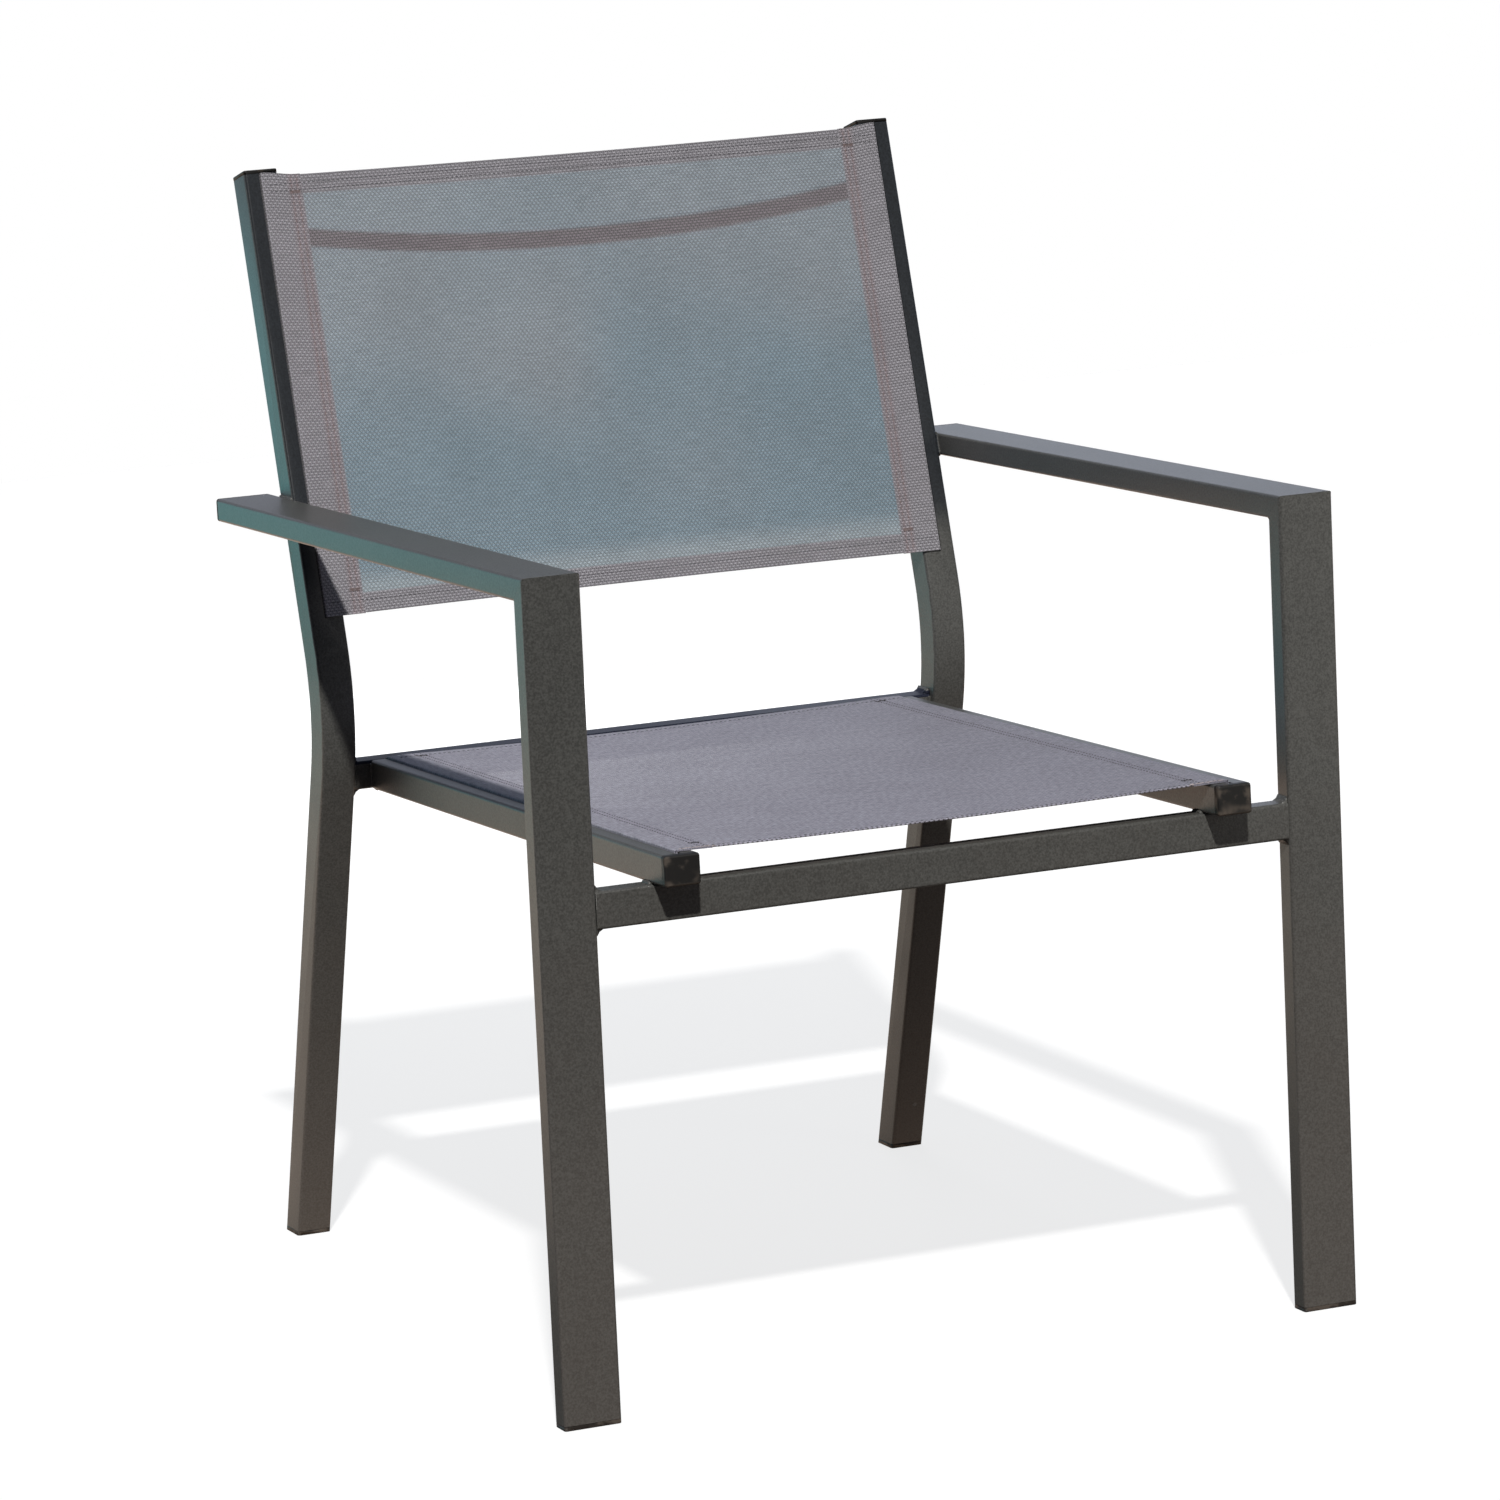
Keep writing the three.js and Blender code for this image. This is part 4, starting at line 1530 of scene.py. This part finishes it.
    def build(self, cloth: bpy.types.Material, threads: dict[str, bpy.types.Material]) -> None:
        """Models and dresses the sling.

        Args:
            cloth: The cloth's finish.
            threads: The finish of each kind of stitching.
        """
        body = self.cloth()
        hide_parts(f"{self.name}_sling")
        hems = [self.hem(f"{self.name}_{end}_hem", end == "far") for end in ("near", "far")]
        template = self.stitch()
        seams = {
            "side_stitching": self.side_seams(),
            "hem_stitching": self.hem_seams(),
            "bar_tacks": self.bar_tacks(),
            "thread_ends": self.loose_ends() if self.thread_ends else [],
        }
        sewing = {kind: [self.sewn(template, row) for row in rows] for kind, rows in seams.items() if rows}
        if self.edge_pitch:
            sewing["hem_stitching"] += [self.edge_row(template, far_end) for far_end in (False, True)]
        stitching = {kind: joined(f"{self.name}_{kind}", rows) for kind, rows in sewing.items()}
        bpy.data.objects.remove(template, do_unlink=True)
        for piece in (body, *hems):
            dress(piece, cloth)
        for kind, piece in stitching.items():
            shade_smooth(piece, self.thread_angle)
            dress(piece, threads[kind])
        self.flat_width()


def seat_sling(sizes: ChairSizes) -> Sling:
    """The seat's sling, from the rails' front tips back.

    Args:
        sizes: The chair's sizes.

    Returns:
        The sling.
    """
    tilt = sizes.seat_tilt
    along = Vector((0, math.cos(tilt), -math.sin(tilt)))
    rail_low, rail_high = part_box("right_seat_rail")
    tip_y = sizes.front_y - sizes.rail_tip_reach
    front_margin, rear_margin = 10 * MM, 1.5 * MM
    return Sling(
        name="seat",
        origin=Vector((0, tip_y, sizes.seat_front_height)) + along * front_margin,
        along=along,
        normal=Vector((0, math.sin(tilt), math.cos(tilt))),
        length=(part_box("rear_crossbar")[0].y - tip_y) / math.cos(tilt) - front_margin - rear_margin,
        slot_x=(rail_low.x + rail_high.x) / 2,
        tube_inner_x=rail_low.x,
        pocket_width=27 * MM,
        hem_width=14 * MM,
        side_rows=(175.5 * MM, 180.0 * MM),
        hem_rows=((2.6 * MM, 12 * MM),),
        thread_ends=True,
        edge_pitch=3.4 * MM,
    )


def back_sling(sizes: ChairSizes) -> Sling:
    """The back's sling, from its lower end up.

    Args:
        sizes: The chair's sizes.

    Returns:
        The sling.
    """
    lean = sizes.recline
    up = Vector((0, math.sin(lean), math.cos(lean)))
    low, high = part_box("back_piping_right")
    length = (high.z - low.z - 2 * sizes.rod_radius * math.sin(lean)) / math.cos(lean)
    top_margin = 5.5 * MM
    top = Vector((0, sizes.upper_post_y(sizes.chair_height), sizes.chair_height))
    return Sling(
        name="back",
        origin=top - up * (top_margin + length),
        along=up,
        normal=Vector((0, -math.cos(lean), math.sin(lean))),
        length=length,
        slot_x=(low.x + high.x) / 2,
        tube_inner_x=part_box("right_rear_post")[0].x,
        pocket_width=30 * MM,
        hem_width=12.5 * MM,
        side_rows=(212.0 * MM, 216.5 * MM),
        hem_rows=((9.5 * MM, 11.5 * MM), (0.0, 6.5 * MM)),
        pocket_rise=2.6 * MM,
        sag=1.2 * MM,
    )


# The studio


@dataclass(frozen=True)
class StudioFloor:
    """The pale floor, which keeps the chair's shadow. The chair itself mirrors warm paving there."""

    size: float = 9.0
    cuts: int = 8
    colour: Colour = (0.24, 0.24, 0.24)
    glow: float = 0.785
    paving: Colour = (0.13, 0.105, 0.09)
    sunlit_paving: Colour = (1.0, 0.76, 0.60)
    paving_glow: float = 1.25
    paving_start: tuple[float, float] = (0.0, 0.5)
    paving_end: tuple[float, float] = (2.0, 2.7)

    def build(self) -> None:
        """Builds the floor."""
        floor = started(bpy.ops.mesh.primitive_plane_add, size=self.size)
        floor.name = "studio_floor"
        with edit_mode(floor):
            bpy.ops.mesh.subdivide(number_cuts=self.cuts)
        material, sheet, shader = start_material("studio_floor")
        material.node_tree.nodes.remove(shader)
        back = sheet.axis(sheet.add("ShaderNodeTexCoord").outputs["Object"], "Y")
        sunlit = sheet.times(
            sheet.ranged(back, *self.paving_start, 0.0, self.paving_glow),
            sheet.ranged(back, *self.paving_end, 1.0, 0.0),
        )
        rays = sheet.add("ShaderNodeLightPath").outputs
        seen = sheet.maths("MAXIMUM", rays["Is Camera Ray"], rays["Is Transmission Ray"])
        mirrored = sheet.times(rays["Is Glossy Ray"], sunlit)
        diffuse = sheet.add("ShaderNodeBsdfDiffuse", {"Color": sheet.mixed(seen, self.paving, self.colour)})
        glow = sheet.add("ShaderNodeEmission", {
            "Color": sheet.mixed(seen, self.sunlit_paving, WHITE),
            "Strength": sheet.linear(seen, self.glow, mirrored),
        })
        both = sheet.add("ShaderNodeAddShader", {0: diffuse.outputs[0], 1: glow.outputs[0]})
        sheet.feed(material.node_tree.nodes["Material Output"], {"Surface": both.outputs[0]})
        floor.data.materials.append(material)


@dataclass(frozen=True)
class KeyLight:
    """The main lamp, in front on the left, wide enough for soft shadows."""

    travel: Place = (0.38, 1.0, -1.10)
    strength: float = 3.65
    softness: float = math.radians(2.0)
    colour: Colour = (1.0, 0.98, 0.945)

    def build(self) -> None:
        """Builds the lamp."""
        data = bpy.data.lights.new("key_light", "SUN")
        data.energy = self.strength
        data.angle = self.softness
        data.color = self.colour
        lamp = linked("key_light", data)
        lamp.rotation_euler = Vector(self.travel).to_track_quat("-Z", "Y").to_euler()


@dataclass(frozen=True)
class Card:
    """A rectangular lamp that the camera doesn't see. Its power is in watts."""

    name: str
    place: Place
    aim: Place
    size: tuple[float, float]
    power: float
    colour: Colour
    mirrored: bool = True

    def build(self) -> None:
        """Builds the card."""
        data = bpy.data.lights.new(self.name, "AREA")
        data.shape = "RECTANGLE"
        data.size, data.size_y = self.size
        data.energy = self.power
        data.color = self.colour
        lamp = linked(self.name, data)
        lamp.location = self.place
        facing = Vector(self.aim) - Vector(self.place)
        lamp.rotation_euler = facing.to_track_quat("-Z", "Y").to_euler()
        lamp.visible_camera = False
        lamp.visible_glossy = self.mirrored


CARDS = (
    # Cool light low behind on the left, which glances off the faces that look left.
    Card("pool_card", (-1.25, 1.9, 0.31), (-0.29, 0.0, 0.29), (1.8, 0.44), 3.0, (0.17, 0.86, 0.86)),
    # Weak warm light near the right front, which has faded at the left side.
    Card("front_card", (0.85, -1.0, 0.55), (0.27, -0.32, 0.40), (0.5, 0.9), 1.5, (1.0, 0.97, 0.90)),
    # Pale light behind on the right, which glances off the right armrest's top.
    Card("sky_card", (1.30, 2.2, 1.04), (0.27, 0.0, 0.63), (0.75, 0.40), 0.95, (0.80, 0.88, 1.0)),
    # Light low behind the chair, on what faces away from the sun.
    Card(
        "back_card", (0.7, 2.6, 0.45), (0.0, 0.3, 0.50), (0.9, 0.6), 22.0, (0.94, 0.97, 1.0), mirrored=False
    ),
)


@dataclass(frozen=True)
class StudioSky:
    """The light all round: white where it is seen behind the chair, dimmer where it lights the chair."""

    colour: Colour = (0.58, 0.70, 1.0)
    mirrored: Colour = (0.42, 0.45, 0.55)
    fill: float = 0.14
    front_gloss: float = 0.05
    gloss_range: tuple[float, float] = (-0.35, 0.3)

    def build(self) -> None:
        """Builds the world."""
        world = bpy.data.worlds.new("studio")
        bpy.context.scene.world = world
        world.use_nodes = True
        sheet = NodeSheet(world.node_tree)
        facing = sheet.axis(sheet.add("ShaderNodeTexCoord").outputs["Generated"], "Y")
        behind = sheet.ranged(facing, *self.gloss_range, self.front_gloss, 1.0)
        rays = sheet.add("ShaderNodeLightPath").outputs
        clear = sheet.maths("MAXIMUM", rays["Is Camera Ray"], rays["Is Transmission Ray"])
        mirrored = sheet.maths("MAXIMUM", rays["Is Glossy Ray"], rays["Is Transmission Ray"])
        seen = sheet.maths("MAXIMUM", rays["Is Camera Ray"], mirrored)
        fill = sheet.times(sheet.maths("SUBTRACT", 1.0, seen), self.fill)
        lit = sheet.maths("ADD", sheet.times(mirrored, behind), fill)
        tint = sheet.mixed(rays["Is Glossy Ray"], self.colour, self.mirrored)
        sheet.feed(world.node_tree.nodes["Background"], {
            "Color": sheet.mixed(clear, tint, WHITE),
            "Strength": sheet.maths("ADD", rays["Is Camera Ray"], lit),
        })


@dataclass(frozen=True)
class ViewPoint:
    """The camera's place and turn."""

    place: Place = (-1902.125 * MM, -4338.636 * MM, 1194.104 * MM)
    yaw: float = math.radians(23.600)
    down: float = math.radians(9.857)
    roll: float = math.radians(2.635)
    focal_length: float = 167.46
    sensor: float = 36.0
    near: float = 0.1
    far: float = 60.0

    def build(self) -> None:
        """Builds the camera."""
        level = math.cos(self.down)
        ahead = Vector((math.sin(self.yaw) * level, math.cos(self.yaw) * level, -math.sin(self.down)))
        right = Vector((math.cos(self.yaw), -math.sin(self.yaw), 0))
        up = right.cross(ahead)
        across = right * math.cos(self.roll) - up * math.sin(self.roll)
        upright = up * math.cos(self.roll) + right * math.sin(self.roll)
        data = bpy.data.cameras.new("camera")
        data.lens = self.focal_length
        data.sensor_width = self.sensor
        data.clip_start = self.near
        data.clip_end = self.far
        camera = linked("camera", data)
        turn = Matrix((across, upright, -ahead)).transposed().to_4x4()
        camera.matrix_world = Matrix.Translation(self.place) @ turn
        bpy.context.scene.camera = camera


def build_frame(sizes: ChairSizes, effects: Effects) -> None:
    """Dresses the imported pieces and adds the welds.

    Args:
        sizes: The chair's sizes.
        effects: The shared effect groups.
    """
    crossbar_low, crossbar_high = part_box("rear_crossbar")
    # The coat is given the rear crossbar's front and top, which is where its painted shade goes
    coat = PowderCoat(crossbar_low.y, crossbar_high.z - sizes.crossbar_bead).material(effects)
    plug_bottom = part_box("rail_plug_left")[0].z
    black = MouldedPlastic("black_plastic", (0.011, 0.0105, 0.010), settled_from=plug_bottom)
    brown = MouldedPlastic("foot_plastic", (0.020, 0.016, 0.013), smudge_start=0.48)
    grey = MouldedPlastic("rod_plastic", (0.16, 0.16, 0.165), smudge_share=0.1)
    RefinedParts("frame_coat", "tube").build(coat)
    RefinedParts("black_plug", "moulding").build(black.material(effects))
    RefinedParts("foot_cap", "moulding").build(brown.material(effects))
    RefinedParts("piping_rod", "rod").build(grey.material(effects))
    for side_name in SIDES:
        WeldBeads(sizes, side_name).build(coat)


def build_slings(sizes: ChairSizes, effects: Effects) -> None:
    """Builds the seat and the back with their cloth and threads.

    Args:
        sizes: The chair's sizes.
        effects: The shared effect groups.
    """
    seat, back = seat_sling(sizes), back_sling(sizes)
    seat_tone = (0.268, 0.261, 0.310)
    seat_cloth = MeshCloth(
        "seat_cloth",
        size=(seat.flat_width(), seat.length),
        yarn=seat_tone,
        lit=seat_tone,
        haze=seat_tone,
        # Painted light: the seat is lighter at its left edge than at its right
        painted_left_light=0.34,
        depth=0.22,
        uneven_yarn=1.15,
    )
    back_cloth = MeshCloth(
        "back_cloth",
        size=(back.flat_width(), back.length),
        # Painted light: the single layer's colours below are daylight coming through it
        yarn=(0.224, 0.216, 0.234),
        lit=(0.152, 0.208, 0.245),
        haze=(0.215, 0.243, 0.268),
        # The painted shade of the spreader bar behind the back's cloth
        painted_bar_shade=(0.158, 0.142, 0.153),
        bar=back.bar_behind("back_spreader_bar", sizes.spreader_radius),
        # A painted glint low on the back's cloth
        painted_glint=(0.31, 0.34, 0.355),
        # Painted light: the back is a little lighter at its left edge than at its right
        painted_left_light=0.08,
        far_haze=0.56,
        stitch_tint=(1.0, 0.89, 0.88),
    )
    thread_colours = {
        "dark": (0.06, 0.057, 0.065),
        "brown": (0.16, 0.115, 0.110),
        "pale": (0.42, 0.36, 0.35),
        "black": (0.016, 0.014, 0.014),
    }
    dark, brown, pale, black = (
        SewingThread(f"{name}_thread", colour).material(effects) for name, colour in thread_colours.items()
    )
    seat_threads = {"side_stitching": dark, "hem_stitching": dark, "bar_tacks": black, "thread_ends": pale}
    seat.build(seat_cloth.material(effects), seat_threads)
    back_threads = {"side_stitching": brown, "hem_stitching": dark, "bar_tacks": brown}
    back.build(back_cloth.material(effects), back_threads)


def main() -> None:
    """Builds the studio and every part of the chair, in order."""
    logging.basicConfig(level=logging.INFO, format="%(message)s")
    bpy.context.scene.view_settings.view_transform = "Standard"
    for item in (ViewPoint(), StudioSky(), KeyLight(), *CARDS, StudioFloor()):
        item.build()
    sizes, effects = ChairSizes(), Effects()
    build_frame(sizes, effects)
    build_slings(sizes, effects)


if __name__ == "__main__":
    main()
